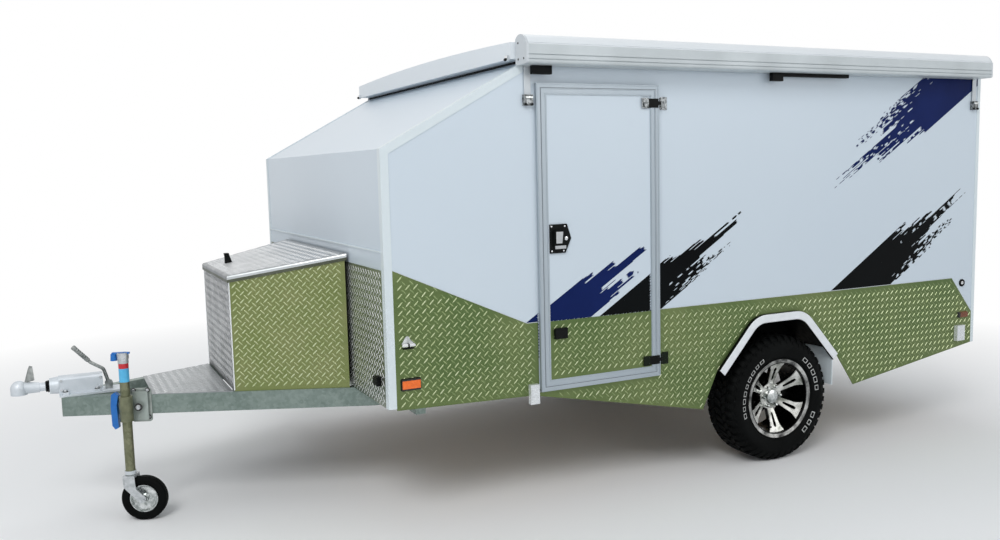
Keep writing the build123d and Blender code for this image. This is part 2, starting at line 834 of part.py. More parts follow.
# Paddle latch on the leaf, small latch below it, and the hinge straps
paddle_x = door_front_x + frame_face + 66
paddle_z = 1397
paddle_width = 122
paddle_height = 146
paddle_plate = 8
paddle_point = 34
paddle_corner = 24
pad_width = 64
pad_height = 92
pad_shift = 14
pad_depth = 18
low_latch_x = door_front_x + frame_face + 55
low_latch_z = 915
low_latch_size = (70, 20, 54)
with BuildPart() as door_fittings:
    for height, seat_y in hinge_table:
        with Locations((hinge_x, -hinge_y, height)):
            Cylinder(hinge_radius, knuckle - 1)
        with Locations((hinge_x, -frame_outer_y, height)):
            Box(
                hinge_reach,
                hinge_strap,
                knuckle - 1,
                align=(Align.MAX, Align.MAX, Align.CENTER),
            )
        with Locations((door_rear_x - 6, -frame_outer_y, height)):
            Box(
                hinge_reach - 10,
                hinge_strap,
                hinge_length - 10,
                align=(Align.MAX, Align.MAX, Align.CENTER),
            )
        with Locations((hinge_x, -hinge_y, height)):
            Cylinder(hinge_pin + pin_clearance, hinge_length, mode=Mode.SUBTRACT)
    with BuildSketch(Plane.XZ.offset(leaf_outer_y)):
        with Locations((paddle_x, paddle_z)):
            Polygon(
                (-paddle_width / 2, -paddle_height / 2),
                (paddle_width / 2 - paddle_point, -paddle_height / 2),
                (paddle_width / 2, 0),
                (paddle_width / 2 - paddle_corner, paddle_height / 2),
                (-paddle_width / 2, paddle_height / 2),
                align=None,
            )
    extrude(amount=paddle_plate)
    with BuildSketch(Plane.XZ.offset(leaf_outer_y + paddle_plate)):
        with Locations((paddle_x - pad_shift, paddle_z)):
            RectangleRounded(pad_width, pad_height, 12)
    extrude(amount=pad_depth, taper=12)
    with Locations((low_latch_x, -leaf_outer_y - plate_thickness, low_latch_z)):
        Box(*low_latch_size, align=(Align.CENTER, Align.MAX, Align.CENTER))
finish(door_fittings, "door_fittings")

# Lift-up roof with its seal, side awning and hold-down straps
roof_setback = 682
roof_front_x = front_x + roof_setback
roof_end_x = rear_x + 6
roof_bottom = 2282
roof_edge_top = 2362
roof_crown = 24
roof_rail = 32
roof_skin = 30
roof_front_rail = nose_setback - roof_setback + 33
with BuildPart() as roof_cap:
    with BuildSketch(Plane.YZ.offset(roof_front_x)):
        with BuildLine():
            ThreePointArc(
                (-half_width, roof_edge_top),
                (0, roof_edge_top + roof_crown),
                (half_width, roof_edge_top),
            )
            Polyline(
                (half_width, roof_edge_top),
                (half_width, roof_bottom),
                (-half_width, roof_bottom),
                (-half_width, roof_edge_top),
            )
        make_face()
    extrude(amount=roof_end_x - roof_front_x)
    with Locations((roof_front_x + roof_front_rail, 0, roof_bottom)):
        Box(
            roof_end_x - roof_front_x - roof_front_rail - roof_rail,
            2 * (half_width - roof_rail),
            roof_edge_top - roof_bottom - roof_skin,
            align=(Align.MIN, Align.CENTER, Align.MIN),
            mode=Mode.SUBTRACT,
        )
finish(roof_cap, "roof_cap")

seal_width = 22
seal_top = roof_bottom - seat_gap
with BuildPart() as roof_seal:
    with Locations(((nose_top_x + rear_x) / 2, 0, wall_top)):
        Box(
            rear_x - nose_top_x,
            body_width,
            seal_top - wall_top,
            align=(Align.CENTER, Align.CENTER, Align.MIN),
        )
        Box(
            rear_x - nose_top_x - 2 * seal_width,
            body_width - 2 * seal_width,
            seal_top - wall_top,
            align=(Align.CENTER, Align.CENTER, Align.MIN),
            mode=Mode.SUBTRACT,
        )
finish(roof_seal, "roof_seal")

awning_front_gap = 34
awning_rear_gap = 64
awning_start_x = roof_front_x + awning_front_gap
awning_end_x = rear_x - awning_rear_gap
awning_bottom = 2250
awning_height = 140
awning_top = awning_bottom + awning_height
awning_seam = 90
awning_step = 6
awning_back = 122
awning_round = 12
awning_cap = 12
groove_width = 5
groove_depth = 5
groove_rises = (20, 42)
awning_mid_y = awning_inner_y + awning_depth / 2
with BuildSketch() as awning_outline:
    with BuildLine():
        ThreePointArc(
            (-awning_outer_y + awning_step, awning_bottom + awning_seam + awning_step),
            (-awning_mid_y - awning_step, awning_top),
            (-awning_inner_y, awning_bottom + awning_back),
        )
        Polyline(
            (-awning_inner_y, awning_bottom + awning_back),
            (-awning_inner_y, awning_bottom),
            (-awning_outer_y, awning_bottom),
            (-awning_outer_y, awning_bottom + awning_seam),
            (-awning_outer_y + awning_step, awning_bottom + awning_seam + awning_step),
        )
    make_face()
    fillet(awning_outline.vertices().group_by(Axis.Y)[0].sort_by(Axis.X)[0], awning_round)

with BuildPart() as awning_cassette:
    with BuildSketch(Plane.YZ.offset(awning_start_x)):
        add(awning_outline.sketch)
        with Locations((-awning_outer_y + awning_step, awning_bottom + awning_seam + awning_step)):
            Rectangle(groove_depth, groove_width, mode=Mode.SUBTRACT)
        for rise in groove_rises:
            with Locations((-awning_outer_y, awning_bottom + rise)):
                Rectangle(2 * groove_depth, groove_width, mode=Mode.SUBTRACT)
        with Locations((-half_width, (roof_bottom + roof_edge_top) / 2)):
            Rectangle(
                awning_inner_y - half_width,
                roof_edge_top - roof_bottom - 20,
                align=(Align.MAX, Align.CENTER),
            )
    extrude(amount=awning_end_x - awning_start_x)
finish(awning_cassette, "awning_cassette")

with BuildPart() as awning_caps:
    for end_x, way in ((awning_start_x, -1), (awning_end_x, 1)):
        with BuildSketch(Plane.YZ.offset(end_x)):
            add(awning_outline.sketch)
        extrude(amount=way * awning_cap)
finish(awning_caps, "awning_caps")

# Fittings under the awning: (start, length, drop)
arm_y = awning_inner_y + 16.5
arm_width = 26
awning_mid_x = (awning_start_x + awning_end_x) / 2
arm_table = [
    (awning_start_x + 58, 108, 42),
    (awning_mid_x - 74, 78, 46),
    (awning_mid_x + 4, 500, 20),
]
with BuildPart() as awning_fittings:
    for start, length, drop in arm_table:
        with Locations((start, -arm_y, awning_bottom)):
            Box(length, arm_width, drop, align=(Align.MIN, Align.MAX, Align.MAX))
finish(awning_fittings, "awning_fittings")

# Roof hold-downs: strap on the roof, over-centre catch on the wall, at four corners
strap_width = 36
strap_thickness = 2.5
strap_gap = 5.2
strap_top = 2342
strap_foot = 2112
catch_height = 54
catch_width = 52
catch_depth = 18
catch_front_gap = 41
catch_rear_gap = 62
catch_places = (door_front_x - catch_front_gap, rear_x - catch_rear_gap)
with BuildPart() as roof_straps:
    for side in (-1, 1):
        for x in catch_places:
            with BuildSketch(Plane.YZ.offset(x)):
                Polygon(
                    (side * half_width, strap_top),
                    (side * (half_width + strap_gap + strap_thickness), strap_top),
                    (side * (half_width + strap_gap + strap_thickness), strap_foot),
                    (side * (half_width + strap_gap), strap_foot),
                    (side * (half_width + strap_gap), roof_bottom + 12),
                    (side * half_width, roof_bottom + 12),
                    align=None,
                )
            extrude(amount=strap_width / 2, both=True)
    add(awning_cassette.part, mode=Mode.SUBTRACT)
finish(roof_straps, "roof_straps")

# Awning leg brackets at the skirt's foot: (start, length)
bracket_table = [(door_front_x - 66, 50), (skirt_end_x - 158, 70)]
bracket_bottom = 566
bracket_top = 666
bracket_depth = 26
with BuildPart() as wall_fittings:
    for side in (-1, 1):
        for x in catch_places:
            with Locations((x, side * (half_width + catch_depth / 2), strap_foot - seat_gap)):
                Box(
                    catch_width,
                    catch_depth,
                    catch_height,
                    align=(Align.CENTER, Align.CENTER, Align.MAX),
                )
    for start, length in bracket_table:
        with Locations((start, -skin_y, bracket_bottom)):
            Box(length, bracket_depth, bracket_top - bracket_bottom, align=(Align.MIN, Align.MAX, Align.MIN))
finish(wall_fittings, "wall_fittings")

# Lamps: side markers (start, bottom, length, height), tail lamps (across, bottom, width, height)
marker_depth = 12
marker_table = [(front_x + 58, 716, 104, 62), (rear_x - 156, 712, 92, 40)]
tail_lamp = (760, 730, 300, 110)
across, lamp_bottom, lamp_width, lamp_height = tail_lamp
with BuildPart() as lamps:
    for start, bottom, length, height in marker_table:
        for side in (-1, 1):
            with BuildSketch(Plane.XZ.offset(-side * skin_y)):
                with Locations((start + length / 2, bottom + height / 2)):
                    RectangleRounded(length, height, 8)
            extrude(amount=-side * marker_depth, taper=20)
    for side in (-1, 1):
        with BuildSketch(Plane.YZ.offset(rear_x + plate_thickness)):
            with Locations((side * (across + lamp_width / 2), lamp_bottom + lamp_height / 2)):
                RectangleRounded(lamp_width, lamp_height, 10)
        extrude(amount=lamp_depth - plate_thickness)
finish(lamps, "lamps")

# Suspension: square beam axle on leaf springs hung from the chassis rails
axle_height = tyre_radius
spring_y = chassis_half_width - rail_width / 2
backing_setback = 274
spindle_setback = 132
backing_y = tyre_outer_y - backing_setback
beam_half = backing_y - 10
backing_thickness = 4
spindle_radius = 20
spindle_end_y = tyre_outer_y - spindle_setback
with BuildPart() as axle_beam:
    with Locations((axle_x, 0, axle_height)):
        Box(axle_size, 2 * beam_half, axle_size)
        Cylinder(spindle_radius, 2 * spindle_end_y, rotation=(90, 0, 0))
    for side in (-1, 1):
        with Locations((axle_x, side * (beam_half + backing_y) / 2, axle_height)):
            Cylinder(spindle_radius + 14, backing_y - beam_half, rotation=(90, 0, 0))
        with Locations((axle_x, side * (backing_y + backing_thickness / 2), axle_height)):
            Cylinder(drum_radius + 4, backing_thickness, rotation=(90, 0, 0))
finish(axle_beam, "axle_beam")

# Leaves from the main one down: shares of the full span
spring_sag = 44
eye_radius = 17
eye_pin_radius = 8
leaf_shares = (1.0, 0.86, 0.68, 0.5, 0.34)
pack_height = leaf_thickness * len(leaf_shares)
spring_arc = ((spring_span / 2) ** 2 + spring_sag**2) / (2 * spring_sag)
spring_seat = axle_height + axle_size / 2
arc_height = spring_seat + pack_height - leaf_thickness + spring_arc
eye_angle = degrees(atan2(spring_span / 2, spring_arc - spring_sag))
eye_height = spring_seat + pack_height - leaf_thickness / 2 + spring_sag + eye_radius - 2
with BuildPart() as leaf_springs:
    for side in (-1, 1):
        with BuildSketch(Plane.XZ.offset(-side * spring_y)):
            for number, share in enumerate(leaf_shares):
                spread = eye_angle * share
                outer = spring_arc + number * leaf_thickness
                with BuildLine():
                    high = CenterArc((axle_x, arc_height), outer - leaf_thickness, 270 - spread, 2 * spread)
                    low = CenterArc((axle_x, arc_height), outer, 270 - spread, 2 * spread)
                    Line(high @ 0, low @ 0)
                    Line(high @ 1, low @ 1)
                make_face()
            with Locations((axle_x - spring_span / 2, eye_height), (axle_x + spring_span / 2, eye_height)):
                Circle(eye_radius)
                Circle(eye_pin_radius + pin_clearance, mode=Mode.SUBTRACT)
        extrude(amount=spring_width / 2, both=True)
finish(leaf_springs, "leaf_springs")

hanger_plate = 6
hanger_width = 64
clamp_plate = 8
clamp_rod = 6
clamp_x = axle_size / 2 + clamp_rod + 1
clamp_y = spring_width / 2 + clamp_rod + 1
clamp_top = spring_seat + pack_height + 13.5
beam_bottom = axle_height - axle_size / 2
with BuildPart() as spring_fittings:
    for side in (-1, 1):
        for end in (-1, 1):
            eye_x = axle_x + end * spring_span / 2
            with Locations((eye_x, side * spring_y, eye_height)):
                Cylinder(eye_pin_radius, spring_width + 2 * hanger_plate + 8, rotation=(90, 0, 0))
            for across in (-1, 1):
                middle = side * spring_y + across * (spring_width / 2 + hanger_plate / 2 + 0.5)
                with Locations((eye_x, middle, eye_height - eye_radius)):
                    Box(
                        hanger_width,
                        hanger_plate,
                        rail_bottom - eye_height + eye_radius,
                        align=(Align.CENTER, Align.CENTER, Align.MIN),
                    )
            with Locations((eye_x, side * spring_y, rail_bottom)):
                Box(
                    hanger_width,
                    spring_width + 2 * hanger_plate + 1,
                    hanger_plate,
                    align=(Align.CENTER, Align.CENTER, Align.MAX),
                )
    for side in (-1, 1):
        with Locations((axle_x, side * spring_y, beam_bottom)):
            Box(
                2 * clamp_x + 26,
                2 * clamp_y + 26,
                clamp_plate,
                align=(Align.CENTER, Align.CENTER, Align.MAX),
            )
        with Locations((axle_x, side * spring_y, beam_bottom)):
            with GridLocations(2 * clamp_x, 2 * clamp_y, 2, 2):
                Cylinder(clamp_rod, clamp_top - beam_bottom, align=(Align.CENTER, Align.CENTER, Align.MIN))
        for end in (-1, 1):
            with Locations((axle_x + end * clamp_x, side * spring_y, clamp_top - clamp_rod)):
                Cylinder(clamp_rod, 2 * clamp_y, rotation=(90, 0, 0))
finish(spring_fittings, "spring_fittings")

# Road wheels. Sections are (radius, distance inward from the tyre's outer face)
tyre_mid = tyre_width / 2
bead_half = 104
shoulder_radius = 348
shoulder_inset = 16
tread_edge = 44
wall_mid_radius = 292
wall_start_radius = 238
wheel_plane = Plane(origin=(axle_x, -tyre_outer_y, axle_height), x_dir=(0, 0, 1), z_dir=(-1, 0, 0))
wheel_axis = Axis((axle_x, 0, axle_height), (0, 1, 0))
with BuildPart() as tyre_left:
    with BuildSketch(wheel_plane):
        with BuildLine():
            Line((rim_radius, tyre_mid - bead_half), (wall_start_radius, tyre_mid - bead_half))
            ThreePointArc(
                (wall_start_radius, tyre_mid - bead_half),
                (wall_mid_radius, 0),
                (shoulder_radius, shoulder_inset),
            )
            ThreePointArc(
                (shoulder_radius, shoulder_inset),
                (tyre_radius - 6, tread_edge - 16),
                (tyre_radius, tread_edge),
            )
            Line((tyre_radius, tread_edge), (tyre_radius, tyre_width - tread_edge))
            ThreePointArc(
                (tyre_radius, tyre_width - tread_edge),
                (tyre_radius - 6, tyre_width - tread_edge + 16),
                (shoulder_radius, tyre_width - shoulder_inset),
            )
            ThreePointArc(
                (shoulder_radius, tyre_width - shoulder_inset),
                (wall_mid_radius, tyre_width),
                (wall_start_radius, tyre_mid + bead_half),
            )
            Line((wall_start_radius, tyre_mid + bead_half), (rim_radius, tyre_mid + bead_half))
            Line((rim_radius, tyre_mid + bead_half), (rim_radius, tyre_mid - bead_half))
        make_face()
    revolve(axis=wheel_axis)
finish(tyre_left, "tyre_left")

rim_half = 112
rim_thickness = 8
flange_radius = rim_radius + flange_height
rim_face = tyre_mid - rim_half
dish_depth = 78
dish_thickness = 26
spoke_count = 6
cap_radius = 44
hub_face_radius = 78
spoke_inner = 60
spoke_outer = rim_radius - rim_thickness + 2
spoke_root = 11
spoke_tip = 26
spoke_rib_root = 7
spoke_rib_tip = 13
disc_back = rim_face + dish_depth + dish_thickness
with BuildPart() as wheel_disc:
    with BuildSketch(wheel_plane):
        Polygon(
            (0, rim_face + dish_depth),
            (hub_face_radius, rim_face + dish_depth),
            (spoke_outer, rim_face + 22),
            (spoke_outer, rim_face + 22 + dish_thickness),
            (hub_face_radius + 14, disc_back),
            (0, disc_back),
            align=None,
        )
    revolve(axis=wheel_axis)
    with BuildSketch(Plane.XZ.offset(tyre_outer_y - tyre_width)):
        with Locations((axle_x, axle_height)):
            Circle(hub_face_radius)
            with PolarLocations(0, spoke_count, start_angle=90):
                for across in (-1, 1):
                    Polygon(
                        (spoke_inner, across * (spoke_root - spoke_rib_root)),
                        (spoke_outer, across * (spoke_tip - spoke_rib_tip)),
                        (spoke_outer, across * (spoke_tip + spoke_rib_tip)),
                        (spoke_inner, across * (spoke_root + spoke_rib_root)),
                        align=None,
                    )
    extrude(amount=tyre_width, mode=Mode.INTERSECT)

drum_inner = tyre_outer_y - backing_y - backing_thickness - 2
spindle_gap = tyre_outer_y - spindle_end_y - 1
with BuildPart() as wheel_left:
    with BuildSketch(wheel_plane):
        Polygon(
            (rim_radius - rim_thickness, rim_face + 6),
            (flange_radius, rim_face),
            (flange_radius, rim_face + 6),
            (rim_radius, rim_face + rim_thickness),
            (rim_radius, tyre_mid + rim_half - rim_thickness),
            (flange_radius, tyre_mid + rim_half - 6),
            (flange_radius, tyre_mid + rim_half),
            (rim_radius - rim_thickness, tyre_mid + rim_half - 6),
            align=None,
        )
    revolve(axis=wheel_axis)
    add(wheel_disc.part)
    with BuildSketch(wheel_plane):
        with BuildLine():
            ThreePointArc(
                (0, rim_face + dish_depth - 26),
                (cap_radius * 0.72, rim_face + dish_depth - 19),
                (cap_radius, rim_face + dish_depth),
            )
            Line((cap_radius, rim_face + dish_depth), (0, rim_face + dish_depth))
            Line((0, rim_face + dish_depth), (0, rim_face + dish_depth - 26))
        make_face()
    revolve(axis=wheel_axis)
    with BuildSketch(wheel_plane):
        Polygon(
            (spindle_radius + pin_clearance, drum_inner),
            (drum_radius, drum_inner),
            (drum_radius, drum_inner - drum_width),
            (drum_radius - 14, drum_inner - drum_width - 14),
            (hub_radius + 8, drum_inner - drum_width - 14),
            (hub_radius, disc_back),
            (0, disc_back),
            (0, spindle_gap),
            (spindle_radius + pin_clearance, spindle_gap),
            align=None,
        )
    revolve(axis=wheel_axis)
finish(wheel_left, "wheel_left")

with BuildPart() as tyre_right:
    mirror(tyre_left.part, about=Plane.XZ)
finish(tyre_right, "tyre_right")

with BuildPart() as wheel_right:
    mirror(wheel_left.part, about=Plane.XZ)
finish(wheel_right, "wheel_right")

# Jockey stand on the left drawbar rail, drawn in its own upright frame: u along the rail
# to the rear, out square to the rail's face, z up
jockey_tip_gap = 323
jockey_stand = 74
jockey_pivot_back = 54
jockey_pivot_z = 584
jockey_radius = 24
jockey_bore = 21
jockey_top = 842
jockey_bottom = 262
inner_radius = 20
inner_top = 620
fork_top = 240
castor_radius = 114
castor_trail = 65
castor_width = 58
castor_rim = 71
castor_pin = 8
fork_plate = 5
fork_gap = 36
bracket_plate = 8
pivot_radius = 14
stand_x = tip_x + jockey_tip_gap
rail_out = (-sin(radians(drawbar_angle)), -cos(radians(drawbar_angle)), 0)
rail_back = (cos(radians(drawbar_angle)), -sin(radians(drawbar_angle)), 0)
rail_face_y = -drawbar_y(stand_x)


def jockey_point(back, out, height):
    """Place given along the rail from the stand's foot, outward from the rail's face, and up."""
    return (
        stand_x + back * rail_back[0] + out * rail_out[0],
        rail_face_y + back * rail_back[1] + out * rail_out[1],
        height,
    )


def jockey_level(height, back=0, out=jockey_stand):
    """Level plane over the stand: its X runs along the rail, its -Y outward."""
    return Plane(origin=jockey_point(back, out, height), x_dir=rail_back, z_dir=(0, 0, 1))


def jockey_face(out, back=0, height=jockey_pivot_z):
    """Upright plane parallel to the rail's face, facing outward, X along the rail."""
    return Plane(origin=jockey_point(back, out, height), x_dir=rail_back, z_dir=rail_out)


with BuildPart() as jockey_mount:
    with BuildSketch(jockey_face(0, jockey_pivot_back)):
        RectangleRounded(104, 176, 14)
    extrude(amount=bracket_plate)
    with BuildSketch(jockey_face(bracket_plate, jockey_pivot_back)):
        Circle(34)
    extrude(amount=14)
    with BuildSketch(jockey_face(bracket_plate + 14, jockey_pivot_back)):
        Circle(pivot_radius)
    extrude(amount=30)
finish(jockey_mount, "jockey_mount")

swing_inner = bracket_plate + 14 + seat_gap
swing_plate = 10
clamp_height = 130
with BuildPart() as jockey_clamp:
    with BuildSketch(jockey_face(swing_inner, jockey_pivot_back)):
        RectangleRounded(84, 150, 12)
        Circle(pivot_radius + pin_clearance, mode=Mode.SUBTRACT)
    extrude(amount=swing_plate)
    with BuildSketch(jockey_face(swing_inner, jockey_pivot_back / 2)):
        Rectangle(jockey_pivot_back - 30, clamp_height)
    extrude(amount=swing_plate)
    with BuildSketch(jockey_level(jockey_pivot_z - clamp_height / 2)):
        Circle(jockey_radius + 9)
        with Locations((0, (jockey_stand - swing_inner) / 2)):
            Rectangle(40, jockey_stand - swing_inner)
        Circle(jockey_radius, mode=Mode.SUBTRACT)
    extrude(amount=clamp_height)
finish(jockey_clamp, "jockey_clamp")

with BuildPart() as jockey_tube:
    with BuildSketch(jockey_level(jockey_bottom)):
        Circle(jockey_radius)
        Circle(jockey_bore, mode=Mode.SUBTRACT)
    extrude(amount=jockey_top - jockey_bottom)
    with BuildSketch(jockey_level(jockey_top)):
        Circle(jockey_radius + 2)
    extrude(amount=26, taper=8)
finish(jockey_tube, "jockey_tube")

crank_height = jockey_top + 26
lever_back = -jockey_radius - 9
with BuildPart() as jockey_handles:
    with BuildSketch(jockey_face(jockey_stand - 14, lever_back - 18)):
        Polygon((2, 88), (-16, 76), (-22, 20), (-20, -84), (-6, -104), (12, -96), (8, 20), (18, 70), align=None)
    extrude(amount=28)
    with BuildSketch(jockey_level(crank_height)):
        SlotCenterToCenter(50, 22)
    extrude(amount=8)
    with BuildSketch(jockey_level(crank_height, -46)):
        Circle(14)
    extrude(amount=-34, taper=-4)
    with BuildSketch(jockey_level(crank_height, -35)):
        Rectangle(34, 22)
    extrude(amount=8)
finish(jockey_handles, "jockey_handles")

with BuildPart() as jockey_leg:
    with BuildSketch(jockey_level(fork_top)):
        Circle(inner_radius)
        Circle(inner_radius - 3, mode=Mode.SUBTRACT)
    extrude(amount=inner_top - fork_top)
    with BuildSketch(jockey_level(fork_top)):
        Circle(jockey_radius + 3)
    extrude(amount=jockey_bottom - fork_top - seat_gap)
finish(jockey_leg, "jockey_leg")

# The castor trails along the rail, so that it lies beside it when the stand is swung up
fork_crown = 8
fork_seat = fork_top - seat_gap
with BuildPart() as jockey_fork:
    with BuildSketch(jockey_level(fork_seat)):
        Circle(jockey_radius + 6)
        Rectangle(60, 2 * fork_gap + 2 * fork_plate)
    extrude(amount=-fork_crown)
    for side in (-1, 1):
        with BuildSketch(jockey_face(jockey_stand + side * (fork_gap + fork_plate / 2), 0, 0)):
            Polygon(
                (-30, fork_seat),
                (30, fork_seat),
                (34, fork_seat - 70),
                (castor_trail + 18, castor_radius + 8),
                (castor_trail + 10, castor_radius - 14),
                (castor_trail - 14, castor_radius - 16),
                (-26, fork_seat - 60),
                align=None,
            )
        extrude(amount=fork_plate / 2, both=True)
    with BuildSketch(jockey_face(jockey_stand, castor_trail, castor_radius)):
        Circle(castor_pin)
    extrude(amount=fork_gap + fork_plate + 8, both=True)
finish(jockey_fork, "jockey_fork")

castor_centre = jockey_point(castor_trail, jockey_stand, castor_radius)
castor_plane = Plane(origin=castor_centre, x_dir=(0, 0, 1), z_dir=(-rail_out[1], rail_out[0], 0))
castor_axis = Axis(castor_centre, rail_out)
castor_half = castor_width / 2
with BuildPart() as castor_tyre:
    with BuildSketch(castor_plane) as castor_section:
        Polygon(
            (castor_rim, -castor_half + 6),
            (castor_radius, -castor_half),
            (castor_radius, castor_half),
            (castor_rim, castor_half - 6),
            align=None,
        )
        fillet(castor_section.vertices().group_by(Axis.Z)[-1], 14)
    revolve(axis=castor_axis)
finish(castor_tyre, "castor_tyre")

with BuildPart() as castor_rim_disc:
    with BuildSketch(castor_plane):
        Polygon(
            (castor_pin + pin_clearance, -castor_half + 2),
            (20, -castor_half + 2),
            (24, -8),
            (castor_rim - 12, -8),
            (castor_rim - 4, -castor_half + 8),
            (castor_rim, -castor_half + 8),
            (castor_rim, castor_half - 8),
            (castor_rim - 4, castor_half - 8),
            (castor_rim - 12, 8),
            (24, 8),
            (20, castor_half - 2),
            (castor_pin + pin_clearance, castor_half - 2),
            align=None,
        )
    revolve(axis=castor_axis)
finish(castor_rim_disc, "castor_rim")
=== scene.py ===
from math import atan2, cos, pi, radians, sin
from random import Random

import bmesh
import bpy
from mathutils import Matrix, Vector
from mathutils.bvhtree import BVHTree


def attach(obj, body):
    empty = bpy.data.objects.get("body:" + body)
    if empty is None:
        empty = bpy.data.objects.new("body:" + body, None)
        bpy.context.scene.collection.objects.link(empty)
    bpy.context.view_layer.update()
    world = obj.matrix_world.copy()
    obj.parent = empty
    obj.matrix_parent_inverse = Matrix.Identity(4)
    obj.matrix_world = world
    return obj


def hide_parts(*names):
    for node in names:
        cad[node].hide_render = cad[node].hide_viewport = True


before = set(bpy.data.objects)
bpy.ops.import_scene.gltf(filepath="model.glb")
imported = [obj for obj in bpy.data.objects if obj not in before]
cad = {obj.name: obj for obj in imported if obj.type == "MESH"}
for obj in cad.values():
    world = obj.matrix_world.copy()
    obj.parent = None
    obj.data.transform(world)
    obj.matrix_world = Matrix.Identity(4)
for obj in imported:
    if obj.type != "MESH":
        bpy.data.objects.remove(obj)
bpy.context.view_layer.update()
scene = bpy.context.scene

# Places shared with the part, in metres. X to the rear, door side -Y, ground at 0
MIDDLE = 0.04925
HALF_WIDTH = 1.1975
PLATE = 0.003
SKIN = 1.2005
FRONT, REAR = -1.2415, 2.8305
# Door frame and leaf: (front, rear, bottom, top), and their outer faces
DOOR = (-0.4345, 0.2985, 0.621, 2.169)
LEAF = (-0.3775, 0.2415, 0.678, 2.112)
LEAF_OUT = 1.2145
FRAME_OUT = 1.2185
BOX_FRONT, BOX_REAR = -1.8205, -1.2565
BOX_BOTTOM = 0.637
LID_FRONT_TOP = 1.241
LID_RISE = 0.100 / 0.564
GUARD_LIP = 1.2212
AWNING_SEAM = 2.341
STRAPS = (-0.4755, 2.7685)
ROOF_FRONT = -0.5595
# Wheels: axle, outer face, hub's face and the cone that the spokes lie on
AXLE = 1.1685
WHEEL_HEIGHT = 0.372
WHEEL_OUT = 1.210
TYRE_WIDTH = 0.255
HUB_RADIUS, HUB_DEPTH = 0.078, 0.0935
DISH_SLOPE = 0.424
RIM_INSIDE = 0.2075
RIM_LIP, LIP_DEPTH = 0.2135, 0.030

LEFT, RIGHT, AHEAD, BEHIND, TOP = (0, -1, 0), (0, 1, 0), (-1, 0, 0), (1, 0, 0), (0, 0, 1)

# Camera at the photo's place and angle
camera_data = bpy.data.cameras.new("camera")
camera_data.sensor_width = 36
camera_data.lens = 33.389
camera = bpy.data.objects.new("camera", camera_data)
scene.collection.objects.link(camera)
right = Vector((0.89709291, -0.44118783, -0.02403373))
up = Vector((0.06904385, 0.08624932, 0.99387826))
back = right.cross(up)
turn = Matrix((right, up, back)).transposed().to_4x4()
camera.matrix_world = Matrix.Translation((-2.63719, -5.27631 + MIDDLE, 1.75091)) @ turn
scene.camera = camera


# Shader helpers
def node(mat, kind, settings=None, **inputs):
    """Adds a shader node. Inputs are values or the sockets that feed them."""
    made = mat.node_tree.nodes.new("ShaderNode" + kind)
    for key, value in (settings or {}).items():
        setattr(made, key, value)
    for key, value in inputs.items():
        known = key[0] == "i" and key[1:].isdigit()
        socket = made.inputs[int(key[1:])] if known else made.inputs[key.replace("_", " ")]
        if isinstance(value, bpy.types.NodeSocket):
            mat.node_tree.links.new(value, socket)
        else:
            socket.default_value = value
    return made


def rgba(colour):
    return (*colour, 1)


def shader(name, **sockets):
    """A material with one Principled shader."""
    mat = bpy.data.materials.new(name)
    mat.use_nodes = True
    mat.node_tree.nodes.clear()
    base = node(mat, "BsdfPrincipled", **sockets)
    output = node(mat, "OutputMaterial", Surface=base.outputs[0])
    return mat, base, output


def link(mat, source, target):
    mat.node_tree.links.new(source, target)


def stretched(mat, stretch):
    """Object coordinates, stretched along the grain of a finish."""
    place = node(mat, "TexCoord").outputs["Object"]
    return node(mat, "Mapping", Vector=place, Scale=stretch).outputs[0]


def noise(mat, place, scale, detail=4, rough=0.55):
    return node(mat, "TexNoise", Vector=place, Scale=scale, Detail=detail, Roughness=rough).outputs["Fac"]


def spread(mat, value, low, high, out_low=0.0, out_high=1.0):
    limits = {"From_Min": low, "From_Max": high, "To_Min": out_low, "To_Max": out_high}
    return node(mat, "MapRange", Value=value, **limits).outputs[0]


def blended(mat, amount, first, second):
    mix = node(mat, "Mix", {"data_type": "RGBA"}, i0=amount)
    for index, colour in ((6, first), (7, second)):
        if isinstance(colour, bpy.types.NodeSocket):
            link(mat, colour, mix.inputs[index])
        else:
            mix.inputs[index].default_value = rgba(colour)
    return mix.outputs[2]


def finish(
    name, colour, other, rough, metal=0.0, patch=2.0, grain=200, stretch=(1, 1, 1), bump=0.0003, **sockets
):
    """A finish that wanders between two colours in patches, with a fine grain in gloss and relief."""
    mat, base, _ = shader(name, Metallic=metal, **sockets)
    place = stretched(mat, stretch)
    patches = spread(mat, noise(mat, place, patch), 0.35, 0.65)
    link(mat, blended(mat, patches, colour, other), base.inputs["Base Color"])
    fine = noise(mat, place, grain, 3)
    link(mat, spread(mat, fine, 0.3, 0.7, *rough), base.inputs["Roughness"])
    if bump:
        relief = node(mat, "Bump", Height=fine, Distance=bump, Strength=0.6)
        link(mat, relief.outputs[0], base.inputs["Normal"])
    return mat


def galvanised(name, colour, other):
    """Zinc spangle: flat crystals of slightly different brightness, with dull streaks."""
    mat, base, _ = shader(name, Metallic=0.85)
    place = stretched(mat, (1, 1, 1))
    cells = node(mat, "TexVoronoi", Vector=place, Scale=70.0).outputs["Color"]
    crystal = node(mat, "SeparateColor", Color=cells).outputs[0]
    streak = noise(mat, stretched(mat, (0.6, 3, 3)), 6)
    both = node(mat, "Math", {"operation": "MULTIPLY_ADD"}, i0=crystal, i1=0.35, i2=streak).outputs[0]
    tone = spread(mat, both, 0.45, 0.9)
    link(mat, blended(mat, tone, colour, other), base.inputs["Base Color"])
    link(mat, spread(mat, both, 0.4, 1.0, 0.55, 0.34), base.inputs["Roughness"])
    return mat


